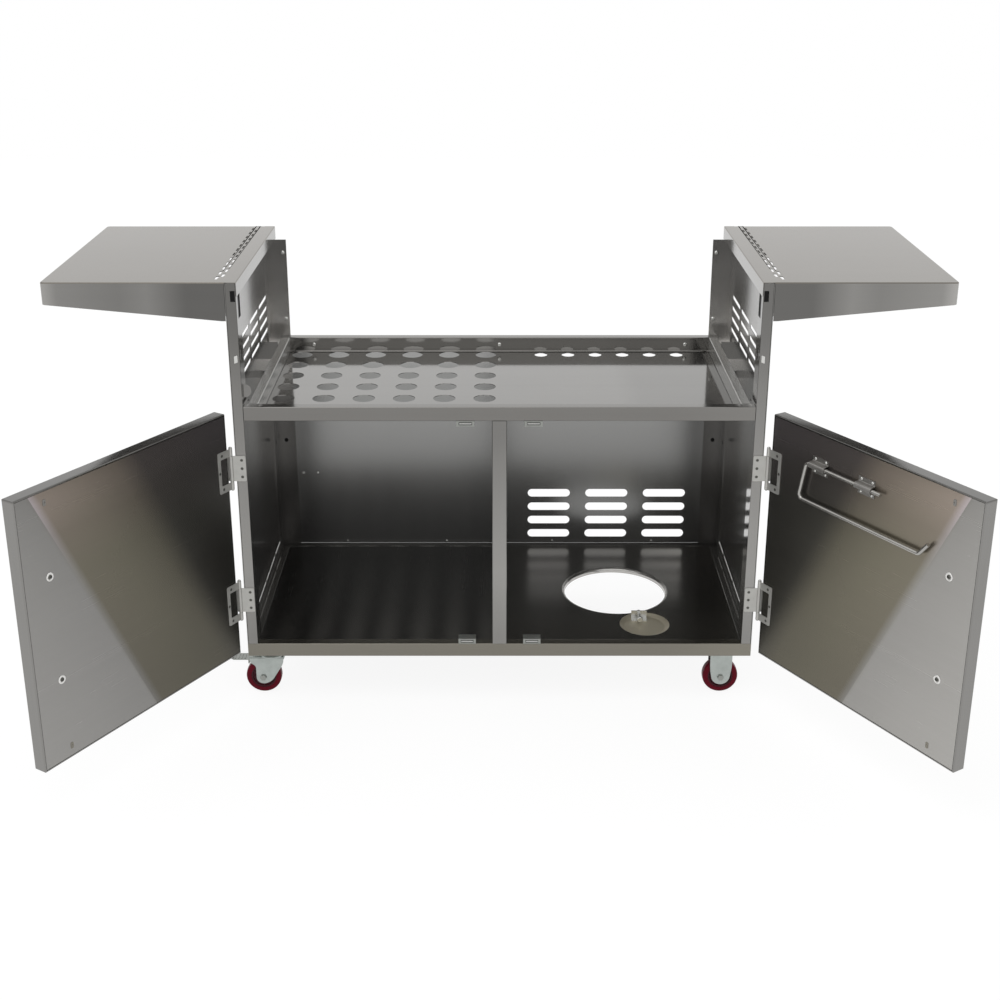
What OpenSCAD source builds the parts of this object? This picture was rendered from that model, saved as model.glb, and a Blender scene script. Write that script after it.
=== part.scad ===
// Grill cart in folded stainless sheet, one module per separate piece.
// Millimetres, +Z up, the front is towards -Y and the wheels stand on z = 0.

/* [Body] */
// Width over the side skins
body_w = 1067; // [960:1:1180]
// Depth from the post fronts to the back of the back panel
body_d = 520; // [460:1:600]
// Height of the shelf tops above the floor
body_h = 919; // [880:1:960]
// Underside of the base frame above the floor
base_z = 104; // [98:1:120]
// Thickness of the folded sheet
sheet = 1.2; // [0.8:0.1:2]
// Width of a front post seen from the front, with the skin edge
post_w = 21.5; // [18:0.5:30]
// Height of the base rails
base_rail_h = 29.8; // [24:0.2:40]
// Depth of a rail tube
rail_d = 22; // [18:0.5:30]
// Leg of the rear corner angles
angle_leg = 46; // [36:1:60]
// Radius of the tank opening inside its rolled rim
tank_r = 114; // [105:0.5:125]
// Width of the centre stile
stile_w = 30; // [20:1:50]

/* [Deck] */
// Top of the deck frame
deck_z = 664; // [620:1:700]
// Height of the deck front rail
deck_rail_h = 29.5; // [24:0.5:40]
// Depth of the recess inside the deck frame
deck_drop = 34; // [20:1:50]
// Radius of the large deck holes
vent_r = 23.5; // [15:0.5:30]
// Radius of the small deck holes
jet_r = 14.5; // [6:0.5:20]

/* [Doors] */
// Width of one door
door_w = 532.5; // [480:0.5:533]
// Height of the doors
door_h = 535.6; // [500:0.2:550]
// Underside of the doors above the floor
door_z = 117.4; // [112:0.2:125]
// Thickness of a door
door_t = 28; // [18:0.5:35]
// Angle both doors stand open at rest
open_a = 121.76; // [0:0.01:180]
// Length of the door leaf of a hinge
hinge_h = 88; // [60:1:110]
// Spacing of the handle screws
grip_pitch = 206; // [120:1:320]

/* [Shelves] */
// Length of a side shelf past the body
shelf_l = 357.5; // [250:0.5:420]
// Depth of a shelf past that of the body
shelf_over = 2; // [0:0.5:6]
// Height of the skirt at the outer end
skirt_out = 44.5; // [30:0.5:60]
// Height of the skirt at the inner end
skirt_in = 77.5; // [60:0.5:110]

/* [Casters] */
// Wheel radius
wheel_r = 38.1; // [30:0.1:45]
// Width of the tread
wheel_w = 25; // [18:0.5:32]
// Distance of the caster axes from the centre plane
caster_x = 490; // [440:1:500]
// Distance of the wheel centres from the front and back faces
caster_y = 43; // [35:1:70]
// Trail of the swivel casters
trail = 19.5; // [15:0.5:32]

/* [Hidden] */
$fn = 64;

hw = body_w / 2;
steel = [0.72, 0.72, 0.7];
zinc = [0.78, 0.79, 0.78];
black = [0.08, 0.08, 0.08];
red = [0.5, 0.03, 0.06];

// heights of the base and of the sheet inside it
base_top = base_z + base_rail_h;
floor_z = base_top - 0.8;
skin_top = body_h - 1.6;
angle_top = body_h - 30;
shelf_d = body_d + shelf_over;
skirt_out_z = body_h - skirt_out;
skirt_in_z = body_h - skirt_in;

// the door hinge pin, and the closed door measured from it
pin_x = hw + 9;
pin_y = -2;
door_edge = 9;
door_gap = 1.7;
leaf_t = 1.5;
barrel_r = 4;
pin_r = 2.5;
run = 0.05;
hinge_gap = 0.6;
slot_h = 56;
leaf_w = 30;

// the y of the post fronts puts the middle of the whole cart on the row's origin
door_tip = -pin_y + (door_gap + pin_y) * cos(open_a) + (door_edge + door_w) * sin(open_a);
back_y = shelf_d;
fy = (door_tip - back_y) / 2;

axle_r = 4;
king_r = 5;
fork_t = 2.5;
fork_gap = 1.5;
hub_r = 27;
plate_l = 78;
plate_w = 62;
plate_t = 2.5;
crown_z = 90;
pivot_r = 3;

tank_x = (hw - 7.5) / 2;
tank_y = body_d / 2 - 1;
tank_lip = 6;
dish_r = 54;
dish_x = tank_x + 53;
dish_y = tank_y - 166.5;
dish_drop = 6;
lock_y = dish_y + 37.5;
lock_x = tank_x + 44;
bracket_w = 34;
lock_r = 4;
lock_z = 5.5;
guide_h = 20;
guide_z = body_h - 38;
tab_z = deck_z + 91;
slit_z = base_top + 18.2;
slit_h = 4;
angle_screw = angle_leg - 8;
louvre_y = body_d - 388;
slit_y = body_d - 393;
vent_x = tank_x - 143.5;

towel_r = 4;
towel_off = 9;
towel_t = 107;
towel_top = door_z + 469.5;
towel_low = towel_top - 77.5;
towel_run = 294;
bend_r = 10;
tip_a = 52;
lean_a = 11.5;
clamp_l = 42;
clamp_h = 34;

module at_front() { translate([0, fy, 0]) children(); }
module right() { at_front() children(); }
module left() { at_front() mirror([1, 0, 0]) children(); }
module box(a, b) { translate(a) cube(b - a); }
module rod_y(r, y0, y1) { translate([0, y0, 0]) rotate([-90, 0, 0]) cylinder(r = r, h = y1 - y0); }
module rod_z(r, x, z0, z1) { translate([x, 0, z0]) cylinder(r = r, h = z1 - z0); }
module rod_x(r, x0, x1) { translate([x0, 0, 0]) rotate([0, 90, 0]) cylinder(r = r, h = x1 - x0); }

// a square tube along x, y or z given by its two corners
module tube_x(a, b, t) { difference() { box(a, b); box([a[0] - 1, a[1] + t, a[2] + t], [b[0] + 1, b[1] - t, b[2] - t]); } }
module tube_y(a, b, t) { difference() { box(a, b); box([a[0] + t, a[1] - 1, a[2] + t], [b[0] - t, b[1] + 1, b[2] - t]); } }
module tube_z(a, b, t) { difference() { box(a, b); box([a[0] + t, a[1] + t, a[2] - 1], [b[0] - t, b[1] - t, b[2] + 1]); } }

// base frame: two full-width rails with the side rails and a centre rail between them
module base_front_rail() { color(steel) at_front() tube_x([-hw, 0, base_z], [hw, rail_d, base_top], 1.5); }
module base_rear_rail() { color(steel) at_front() tube_x([-hw, body_d - rail_d, base_z], [hw, body_d, base_top], 1.5); }
module base_side() { tube_y([hw - rail_d, rail_d, base_z], [hw, body_d - rail_d, base_top], 1.5); }
module base_left_rail() { color(steel) left() base_side(); }
module base_right_rail() { color(steel) right() base_side(); }
module base_centre_rail() { color(steel) at_front() tube_y([-15, rail_d, base_z], [15, body_d - rail_d, floor_z - sheet], 1.5); }

// floor sheets; the right one has the rolled tank rim and the pressed dish
module floor_left() { color(steel) left() box([0.2, rail_d, floor_z - sheet], [hw - rail_d, body_d - rail_d, floor_z]); }
module rim_ring() {
  translate([tank_x, tank_y, 0]) rotate_extrude()
    polygon([[tank_r + tank_lip, floor_z], [tank_r + 3, floor_z - 0.8], [tank_r + 0.8, floor_z - 3],
      [tank_r, floor_z - tank_lip], [tank_r, floor_z - tank_lip - 5], [tank_r + 1.2, floor_z - tank_lip - 5],
      [tank_r + 1.2, floor_z - tank_lip + 0.3], [tank_r + 2, floor_z - 3.6], [tank_r + 3.8, floor_z - 1.8],
      [tank_r + tank_lip, floor_z - sheet]]);
}
module floor_right() {
  color(steel) right() union() {
    difference() {
      union() {
        difference() {
          box([0.2, rail_d, floor_z - sheet], [hw - rail_d, body_d - rail_d, floor_z]);
          translate([dish_x, dish_y, floor_z - 3]) cylinder(r = dish_r - sheet, h = 6);
        }
        translate([dish_x, dish_y, floor_z - dish_drop - sheet]) difference() {
          cylinder(r = dish_r, h = dish_drop + sheet);
          translate([0, 0, sheet]) cylinder(r = dish_r - sheet, h = dish_drop + 1);
        }
      }
      translate([tank_x, tank_y, floor_z - 20]) cylinder(r = tank_r + tank_lip - 0.4, h = 40);
    }
    rim_ring();
  }
}

// tank lock: a bracket on the dish's edge and a screw that presses on the tank's foot ring
module tank_lock_bracket() {
  color(zinc) right() difference() {
    union() {
      box([lock_x - bracket_w / 2, lock_y - 1.5, floor_z - dish_drop], [lock_x + bracket_w / 2, lock_y + 1.5, floor_z + lock_z + 7]);
      box([lock_x - bracket_w / 2, lock_y - 16, floor_z - dish_drop], [lock_x + bracket_w / 2, lock_y + 1.5, floor_z - dish_drop + 2]);
    }
    translate([lock_x, 0, floor_z + lock_z]) rod_y(lock_r + run, lock_y - 5, lock_y + 5);
  }
}
module tank_lock_screw() {
  color(zinc) right() translate([lock_x, 0, floor_z + lock_z]) {
    rod_y(lock_r, lock_y - 24, lock_y + 12);
    rod_y(6.5, lock_y - 31, lock_y - 24);
  }
}

// front posts: a channel with a deep inner leg, stood on the base rail against the skin
module front_post() {
  difference() {
    union() {
      box([hw - post_w, 0, base_top], [hw - sheet, post_w, skin_top]);
      box([hw - post_w, 0, base_top], [hw - post_w + 1.5, angle_leg, skin_top]);
    }
    box([hw - post_w + 1.5, 1.5, base_top - 1], [hw - sheet - 1.5, post_w + 1, skin_top + 1]);
    box([hw - post_w + 1.5, -1, guide_z], [hw - post_w + 8.5, 2, guide_z + guide_h]);
    box([hw - post_w - 1, 17, guide_z - 39], [hw - post_w + 2, 41, guide_z + 9]);
    box([hw - post_w - 1, 12, tab_z + 2], [hw - post_w + 2, 26, tab_z + 25]);
  }
}
// a half-round ear folded off the left post just above the deck
module post_ear() {
  gx = hw - post_w;
  box([gx - 3.5, 12, deck_z + 17], [gx + 1, 13.5, deck_z + 44]);
  translate([gx - 3.5, 0, deck_z + 30.5]) rod_y(13.5, 12, 13.5);
}
module front_post_left() { color(steel) left() { front_post(); post_ear(); } }
module front_post_right() { color(steel) right() front_post(); }

// rear posts: angles with one leg on the skin and one on the back panel
module rear_post() {
  x1 = hw - sheet;
  y1 = body_d - sheet;
  difference() {
    union() {
      box([x1 - 2, y1 - angle_leg, base_top], [x1, y1, angle_top]);
      box([x1 - angle_leg + 0.3, y1 - 2, base_top], [x1, y1, angle_top]);
    }
    box([x1 - 3, y1 - angle_leg - 6.8, slit_z], [x1 + 1, y1 - 18.8, slit_z + slit_h]);
    translate([hw - 24, 0, door_z + door_h / 2 + 17.8]) rod_y(5, y1 - 5, y1 + 1);
    translate([0, y1 - 24, door_z + door_h / 2 + 19.8]) rod_x(5, x1 - 5, x1 + 1);
  }
}
module rear_post_left() { color(steel) left() rear_post(); }
module rear_post_right() { color(steel) right() rear_post(); }

// side skins with four rows of louvre slots and a low drain slot
module bar_slot(y0, y1, z, h) {
  translate([hw - 3, 0, z]) {
    box([0, y0 + h / 2, -h / 2], [6, y1 - h / 2, h / 2]);
    translate([0, y0 + h / 2, 0]) rod_x(h / 2, 0, 6);
    translate([0, y1 - h / 2, 0]) rod_x(h / 2, 0, 6);
  }
}
module side_skin() {
  difference() {
    box([hw - sheet, 0, base_top], [hw, body_d, skin_top]);
    for (row = [0:3]) for (k = [0:2]) bar_slot(louvre_y + k * 121, louvre_y + k * 121 + 104, deck_z + 102.5 - row * 25.2, 9);
    for (cut = [[0, 135], [137, 271], [281, 373]])
      box([hw - 3, slit_y + cut[0], slit_z], [hw + 1, slit_y + cut[1], slit_z + slit_h]);
  }
}
module side_skin_left() { color(steel) left() side_skin(); }
module side_skin_right() { color(steel) right() side_skin(); }

// back panel: twelve vents and a hose gap behind the right bay
module back_panel() {
  y0 = body_d - sheet;
  color(steel) at_front() difference() {
    box([-hw + sheet, y0, base_top], [hw - sheet, body_d, deck_z - deck_drop]);
    for (i = [0:2]) for (j = [0:3]) translate([vent_x + i * 139.5, 0, base_top + 25.7 + j * 35.3]) {
      box([-41, y0 - 1, -10], [41, body_d + 1, 10]);
      for (s = [-41, 41]) translate([s, 0, 0]) rod_y(10, y0 - 1, body_d + 1);
    }
    box([tank_x - 203, y0 - 1, deck_z - deck_drop - 40], [tank_x + 197, body_d + 1, deck_z - deck_drop - 6]);
  }
}
module centre_stile() { color(steel) at_front() tube_z([-stile_w / 2, 0, base_top], [stile_w / 2, rail_d, deck_z - deck_rail_h], 1.5); }

// deck frame: front rail between the posts, side and rear rails round the sunk plate
deck_out = hw - post_w - 7;
deck_in = deck_out - 20;
hole_pitch_x = (deck_in - 62) / 5;
hole_pitch_y = (body_d - 127) / 5;
hole_y = rail_d + 55;
rear_y = body_d - sheet - 2;
module deck_front_rail() { color(steel) at_front() tube_x([-hw + post_w, 0, deck_z - deck_rail_h], [hw - post_w, rail_d, deck_z], 1.5); }
module deck_rear_rail() { color(steel) at_front() tube_x([-deck_out, rear_y - rail_d, deck_z - deck_drop], [deck_out, rear_y, deck_z], 1.5); }
module deck_side() { tube_y([deck_in, rail_d, deck_z - deck_drop], [deck_out, rear_y - rail_d, deck_z], 1.5); }
module deck_left_rail() { color(steel) left() deck_side(); }
module deck_right_rail() { color(steel) right() deck_side(); }
module deck_plate() {
  z = deck_z - deck_drop;
  color(steel) at_front() difference() {
    union() {
      box([-deck_out, rail_d, z - sheet], [deck_out, rear_y, z]);
      box([-deck_in, rail_d, z - sheet], [deck_in, rail_d + sheet, deck_z - 4]);
    }
    for (i = [0:5]) for (j = [0:5]) translate([-31.5 - i * hole_pitch_x, hole_y + j * hole_pitch_y, z - 5]) cylinder(r = vent_r, h = 10);
    for (i = [0:5]) translate([95.5 + i * 62.4, hole_y + 5 * hole_pitch_y, z - 5]) cylinder(r = jet_r, h = 10);
  }
}

// brackets that carry the deck frame off the posts and skins
module deck_bracket_set() {
  gx = hw - post_w;
  box([gx - 2, rail_d, deck_z - 26], [gx, 60, deck_z - 1]);
  box([deck_out, rail_d + 8, deck_z - 26], [gx - 2, rail_d + 36, deck_z - 6]);
  box([deck_out, body_d / 2 + 12, deck_z - 26], [hw - sheet, body_d / 2 + 14, deck_z - 10]);
  box([deck_out, body_d - 84, deck_z - deck_drop], [hw - sheet, body_d - 81, deck_z + 6]);
  box([deck_out, body_d - 81, deck_z - deck_drop], [deck_out + 2, body_d - 58, deck_z - 4]);
}
module deck_brackets() { color(steel) { left() deck_bracket_set(); right() deck_bracket_set(); } }

// magnet catches beside the stile, on the base rail and under the deck rail
module catch_block(z0) {
  difference() {
    box([50, 0, z0], [87, 20, z0 + 11.5]);
    box([55, -1, z0 + 3.5], [82, 2, z0 + 8]);
  }
}
module magnet_catches() {
  color(zinc) {
    left() { catch_block(base_top); catch_block(deck_z - deck_rail_h - 11.5); }
    right() { catch_block(base_top); catch_block(deck_z - deck_rail_h - 11.5); }
  }
}

// screws: two in each rear angle, two in the back panel, four along its foot, tabs on the posts
module head_y(x, y, z, r) { translate([x, 0, z]) { rod_y(r, y - 2.5, y); } }
module frame_screws() {
  ya = body_d - sheet - 2;
  yb = body_d - sheet;
  color(zinc) at_front() {
    for (s = [-1, 1]) {
      head_y(s * (hw - angle_screw), ya, angle_top - 30, 5);
      head_y(s * (hw - angle_screw), ya, deck_z + 39, 5);
      head_y(s * 430, rear_y - rail_d, deck_z - deck_drop / 2, 5);
      head_y(s * (hw - 161.5), yb, base_top + 5.7, 3);
      head_y(s * (hw - 404.5), yb, base_top + 5.7, 3);
      box([s * (hw - 14) - 3.4, -0.8, tab_z], [s * (hw - 14) + 3.4, 0, tab_z + 17]);
    }
    head_y(0, rear_y - rail_d, deck_z - deck_drop / 2, 5);
    head_y(60.8 - hw, yb, door_z + 200.6, 4);
    head_y(95.6 - hw, yb, door_z + 200.6, 4);
  }
}

// side shelves: a folded pan that hooks over the side wall
module skirt_shape(x0, x1) {
  function zb(x) = skirt_in_z + (x - hw - 8.5) * (skirt_out_z - skirt_in_z) / (shelf_l - 8.5);
  polygon([[x0, zb(x0)], [x1, zb(x1)], [x1, body_h], [x0, body_h]]);
}
module shelf() {
  xo = hw + shelf_l;
  xi = hw + 7.3;
  inner = hw - post_w - 1.7;
  slot_step = (shelf_d - 68.8) / 11;
  difference() {
    union() {
      box([inner, 0, body_h - sheet], [xo, shelf_d, body_h]);
      for (y = [sheet, shelf_d]) translate([0, y, 0]) rotate([90, 0, 0]) linear_extrude(sheet) skirt_shape(hw + 8.5, xo);
      box([xo - sheet, 0, skirt_out_z], [xo, shelf_d, body_h]);
      box([xi, 0, skirt_in_z], [hw + 8.5, shelf_d, body_h]);
      box([inner, 0, body_h - 28.6], [inner + sheet, shelf_d, body_h]);
    }
    for (k = [0:11]) box([hw + 18.5, 25.5 + k * slot_step, body_h - 3], [hw + 23.5, 49.5 + k * slot_step, body_h + 1]);
    for (k = [0:10]) box([hw + 9.5, 46.5 + k * slot_step, body_h - 3], [hw + 14.5, 70.5 + k * slot_step, body_h + 1]);
  }
}
module shelf_left() { color(steel) left() shelf(); }
module shelf_right() { color(steel) right() shelf(); }

// hanger bars on the skins that the shelves hook over
module hanger() {
  for (z = [[body_h - 31, body_h - 1.5], [skirt_in_z + 2, skirt_in_z + 12]])
    box([hw, 50, z[0]], [hw + 7, body_d - 50, z[1]]);
}
module shelf_hangers() { color(steel) { left() hanger(); right() hanger(); } }

// black guide blocks let into the post fronts
module guide() { box([hw - post_w + 1.5, 0, guide_z + 0.2], [hw - post_w + 8.3, post_w - 2.5, guide_z + guide_h - 0.2]); }
module post_guides() { color(black) { left() guide(); right() guide(); } }

// everything on a door is drawn on the closed right door, then swung about the pin
module swung() { translate([pin_x, pin_y, 0]) rotate([0, 0, open_a]) translate([-pin_x, -pin_y, 0]) children(); }
module left_door() { left() swung() children(); }
module right_door() { right() swung() children(); }
dx1 = pin_x - door_edge;
dx0 = dx1 - door_w;
dy1 = -door_gap;
dy0 = dy1 - door_t;
module door_pan() {
  difference() {
    box([dx0, dy0, door_z], [dx1, dy1, door_z + door_h]);
    box([dx0 + sheet, dy0 + sheet, door_z + sheet], [dx1 - sheet, dy1 + 1, door_z + door_h - sheet]);
    for (s = [-1, 1]) translate([dx0 + 61, 0, door_z + door_h / 2 + s * grip_pitch / 2]) rod_y(3, dy0 - 1, dy1);
  }
}
module door_liner() {
  difference() {
    box([dx0 + sheet, dy1 - sheet, door_z + sheet], [dx1 - sheet, dy1, door_z + door_h - sheet]);
    for (s = [-1, 1]) translate([dx0 + 61, 0, door_z + door_h / 2 + s * grip_pitch / 2]) rod_y(3, dy0, dy1 + 1);
  }
}
module handle() {
  translate([dx0 + 61, 0, door_z + door_h / 2]) {
    translate([0, dy0 - 42, -grip_pitch / 2 - 35]) cylinder(r = 9.5, h = grip_pitch + 70);
    for (s = [-1, 1]) translate([0, 0, s * grip_pitch / 2]) difference() {
      rod_y(6, dy0 - 42, dy0);
      rod_y(2.5, dy0 - 20, dy0 + 1);
    }
  }
}
module handle_screws() {
  for (s = [-1, 1]) translate([dx0 + 61, 0, door_z + door_h / 2 + s * grip_pitch / 2]) {
    rod_y(2.5, dy0 - 18, dy1);
    rod_y(8, dy1, dy1 + 1);
    rod_y(5, dy1 + 1, dy1 + 3);
  }
}
hinge_z = [door_z + 120, door_z + door_h - 120];
module barrel(z0, z1, bore) {
  translate([pin_x, pin_y, z0]) difference() {
    cylinder(r = barrel_r, h = z1 - z0);
    translate([0, 0, -1]) cylinder(r = bore, h = z1 - z0 + 2);
  }
}
module door_leaf(z) {
  z0 = z - hinge_h / 2;
  z1 = z + hinge_h / 2;
  s0 = z - slot_h / 2;
  s1 = z + slot_h / 2;
  difference() {
    box([dx1 - leaf_w, dy1, z0], [pin_x, dy1 + leaf_t, z1]);
    box([dx1 - leaf_w + 8, dy1 - 1, s0], [pin_x + 1, dy1 + leaf_t + 1, s1]);
    translate([pin_x, pin_y, z0 - 1]) cylinder(r = barrel_r - 0.5, h = hinge_h + 2);
    for (p = [z0 + 8, z, z1 - 8]) translate([dx1 - leaf_w + (p == z ? 4 : 12), 0, p]) rod_y(2, dy1 - 1, dy1 + 3);
  }
  barrel(z0, s0, pin_r + run);
  barrel(s1, z1, pin_r + run);
}
module door_leaves() { for (z = hinge_z) door_leaf(z); }
module post_leaf(z) {
  z0 = z - slot_h / 2 + hinge_gap;
  z1 = z + slot_h / 2 - hinge_gap;
  difference() {
    box([hw - post_w + 1, -leaf_t, z0], [pin_x, 0, z1]);
    translate([pin_x, pin_y, z0 - 1]) cylinder(r = barrel_r - 0.5, h = slot_h + 2);
    for (p = [z - 18, z, z + 18]) translate([hw - post_w + 9, 0, p]) rod_y(2, -3, 1);
  }
  barrel(z0, z1, pin_r);
}
module post_leaves() { color(steel) { left() for (z = hinge_z) post_leaf(z); right() for (z = hinge_z) post_leaf(z); } }
module pin_set() {
  for (z = hinge_z) translate([pin_x, pin_y, z - hinge_h / 2]) {
    cylinder(r = pin_r, h = hinge_h);
    for (k = [-3.2, hinge_h + 0.2]) translate([0, 0, k]) cylinder(r = 3.6, h = 3);
    translate([0, 0, -0.4]) cylinder(r = pin_r, h = hinge_h + 0.8);
  }
}
module hinge_pins() { color(zinc) { left() pin_set(); right() pin_set(); } }

module left_door_pan() { color(steel) left_door() door_pan(); }
module left_door_liner() { color(steel) left_door() door_liner(); }
module left_handle() { color(steel) left_door() handle(); }
module left_handle_screws() { color(zinc) left_door() handle_screws(); }
module left_door_leaves() { color(steel) left_door() door_leaves(); }
module right_door_pan() { color(steel) right_door() door_pan(); }
module right_door_liner() { color(steel) right_door() door_liner(); }
module right_handle() { color(steel) right_door() handle(); }
module right_handle_screws() { color(zinc) right_door() handle_screws(); }
module right_door_leaves() { color(steel) right_door() door_leaves(); }

// towel bar: two clamps on the right door's liner and a bent rod that swings in them
towel_x = dx1 - towel_t;
towel_y = dy1 + towel_off;
module towel_clamp(x) {
  difference() {
    union() {
      box([x - clamp_l / 2, dy1, towel_top - clamp_h / 2], [x + clamp_l / 2, dy1 + 1.5, towel_top + clamp_h / 2]);
      box([x - clamp_l / 2, dy1, towel_top - 7], [x + clamp_l / 2, towel_y + 6, towel_top + 7]);
    }
    translate([0, towel_y, towel_top]) rod_x(towel_r + run, x - clamp_l, x + clamp_l);
    for (s = [-1, 1]) translate([x + 17 * s, 0, towel_top]) for (u = [-12, 12]) translate([0, 0, u]) rod_y(2, dy1 - 1, dy1 + 3);
  }
}
module towel_clamps() { color(steel) right_door() { towel_clamp(towel_x - bend_r - clamp_l / 2 - 1); towel_clamp(towel_x - 154); } }
module bend_arc(x, z, a0, a1) {
  translate([x, 0, z]) rotate([90, 0, 0]) rotate([0, 0, a0]) rotate_extrude(angle = a1 - a0) translate([bend_r, 0]) circle(r = towel_r);
}
module towel_bar() {
  leg_r = towel_r - 0.05;
  lap = 0.5;
  tip_x = towel_x - towel_run;
  drop = towel_top - towel_low - 2 * bend_r;
  low_x = towel_x - bend_r + drop * tan(lean_a);
  color(zinc) right_door() translate([0, towel_y, 0]) {
    translate([low_x + bend_r * cos(lean_a), 0, towel_low + bend_r + bend_r * sin(lean_a)])
      rotate([0, -lean_a, 0]) translate([0, 0, -lap]) cylinder(r = leg_r, h = drop / cos(lean_a) + 2 * lap);
    translate([0, 0, towel_top]) rod_x(leg_r, towel_x - 197, towel_x - bend_r + lap);
    translate([0, 0, towel_low]) rod_x(leg_r, tip_x - lap, low_x + lap);
    bend_arc(towel_x - bend_r, towel_top - bend_r, lean_a, 90);
    bend_arc(low_x, towel_low + bend_r, -90, lean_a);
    bend_arc(tip_x, towel_low + bend_r, -90 - tip_a, -90);
    translate([tip_x - bend_r * sin(tip_a), 0, towel_low + bend_r - bend_r * cos(tip_a)])
      rotate([0, tip_a - 90, 0]) translate([0, 0, -lap]) cylinder(r = leg_r, h = 28);
  }
}

// casters; the swivel pair is under the left end, the rigid pair under the right end
wheel_ys = [caster_y, body_d - caster_y];
module swivel_plate(y) {
  box([caster_x - plate_l / 2, y - plate_w / 2, base_z - plate_t], [caster_x + plate_l / 2, y + plate_w / 2, base_z]);
  translate([caster_x, y, crown_z + 4.3]) cylinder(r = 24, h = base_z - plate_t - crown_z - 4.3);
  translate([caster_x, y, crown_z - 6]) cylinder(r = king_r, h = 12);
  translate([caster_x, y, crown_z - 7]) cylinder(r = 8, h = 3.3);
}
module swivel_plates() { color(zinc) left() for (y = wheel_ys) swivel_plate(y); }
module swivel_fork(y) {
  half = wheel_w / 2 + fork_gap;
  xw = caster_x + trail;
  difference() {
    union() {
      for (s = [-1, 1]) translate([0, s > 0 ? y + half : y - half - fork_t, 0]) {
        translate([xw, 0, wheel_r]) rod_y(15, 0, fork_t);
        translate([0, fork_t, 0]) rotate([90, 0, 0]) linear_extrude(fork_t)
          polygon([[xw - 15, wheel_r], [xw + 15, wheel_r], [xw + 15, 66], [xw + 27, 73], [xw + 28, 86], [caster_x - 26, 86], [caster_x - 24, 70]]);
      }
      box([caster_x - 26, y - half - fork_t, 84], [xw + 28, y + half + fork_t, 87]);
      translate([caster_x, y, 87]) cylinder(r = 27, h = crown_z + 4 - 87);
    }
    translate([caster_x, y, 80]) cylinder(r = king_r + run, h = 20);
    translate([caster_x, y, 80]) cylinder(r = 8.5, h = 6.6);
    translate([xw, 0, wheel_r]) rod_y(axle_r, y - 40, y + 40);
    translate([xw + 21, 0, 78]) rod_y(pivot_r, y - 40, y + 40);
  }
}
module front_swivel_fork() { color(zinc) left() swivel_fork(wheel_ys[0]); }
module rear_swivel_fork() { color(zinc) left() swivel_fork(wheel_ys[1]); }
module axle(y) {
  half = wheel_w / 2 + fork_gap + fork_t;
  rod_y(axle_r, y - half - 4, y + half + 4);
  rod_y(7, y - half - 4, y - half);
  rod_y(7, y + half, y + half + 4);
}
module swivel_axle(y) { left() translate([caster_x + trail, 0, wheel_r]) axle(y); }
module front_swivel_axle() { color(zinc) swivel_axle(wheel_ys[0]); }
module rear_swivel_axle() { color(zinc) swivel_axle(wheel_ys[1]); }

// brake pedals pivot between the fork cheeks outside the wheel
module brake(y) {
  px = caster_x + trail + 21;
  left() {
    translate([px, 0, 78]) rod_y(pivot_r - run, y - 15.8, y + 15.8);
    translate([px, 0, 78]) rod_y(5, y - 13, y + 13);
    box([px + 2, y - 13, 78.5], [px + 47, y + 13, 81.5]);
    box([px + 42, y - 15, 78.5], [px + 48, y + 15, 82.5]);
    box([px + 8, y - 10, 68], [px + 11, y + 10, 79]);
  }
}
module front_brake_pedal() { color(zinc) brake(wheel_ys[0]); }
module rear_brake_pedal() { color(zinc) brake(wheel_ys[1]); }

// wheels: a hub turning on the axle and a tyre round it
module hub(y) {
  h = wheel_w / 2;
  translate([0, 0, wheel_r]) difference() {
    union() {
      rod_y(hub_r, y - h + 2, y + h - 2);
      rod_y(10, y - h - 1.2, y + h + 1.2);
    }
    rod_y(axle_r + run, y - h - 5, y + h + 5);
    for (s = [-1, 1]) translate([0, y + s * (h + 1), 0]) difference() {
      rod_y(23, -5, 5);
      rod_y(12, -6, 6);
    }
  }
}
module tyre(y) {
  translate([0, y, wheel_r]) rotate([90, 0, 0]) rotate_extrude()
    polygon([[hub_r, -wheel_w / 2 + 1], [wheel_r - 3.5, -wheel_w / 2 + 1], [wheel_r - 1, -wheel_w / 2 + 3],
      [wheel_r, -wheel_w / 2 + 7], [wheel_r, wheel_w / 2 - 7], [wheel_r - 1, wheel_w / 2 - 3],
      [wheel_r - 3.5, wheel_w / 2 - 1], [hub_r, wheel_w / 2 - 1]]);
}
module on_left(y) { left() translate([caster_x + trail, 0, 0]) children(); }
rigid_x = 477;
module on_right() { right() translate([rigid_x, 0, 0]) children(); }
module front_left_hub() { color(steel) on_left() hub(wheel_ys[0]); }
module front_left_tyre() { color(red) on_left() tyre(wheel_ys[0]); }
module rear_left_hub() { color(steel) on_left() hub(wheel_ys[1]); }
module rear_left_tyre() { color(red) on_left() tyre(wheel_ys[1]); }
module front_right_hub() { color(steel) on_right() hub(wheel_ys[0]); }
module front_right_tyre() { color(red) on_right() tyre(wheel_ys[0]); }
module rear_right_hub() { color(steel) on_right() hub(wheel_ys[1]); }
module rear_right_tyre() { color(red) on_right() tyre(wheel_ys[1]); }
module rigid_fork(y) {
  half = wheel_w / 2 + fork_gap;
  difference() {
    union() {
      box([-plate_l / 2, y - plate_w / 2, base_z - plate_t], [plate_l / 2, y + plate_w / 2, base_z]);
      for (s = [-1, 1]) translate([0, s > 0 ? y + half : y - half - fork_t, 0]) {
        translate([0, 0, wheel_r]) rod_y(17, 0, fork_t);
        translate([0, fork_t, 0]) rotate([90, 0, 0]) linear_extrude(fork_t)
          polygon([[-17, wheel_r], [17, wheel_r], [23.5, 62], [23.5, base_z - 1], [-23.5, base_z - 1], [-23.5, 58]]);
      }
    }
    translate([0, 0, wheel_r]) rod_y(axle_r, y - 40, y + 40);
  }
}
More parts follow.
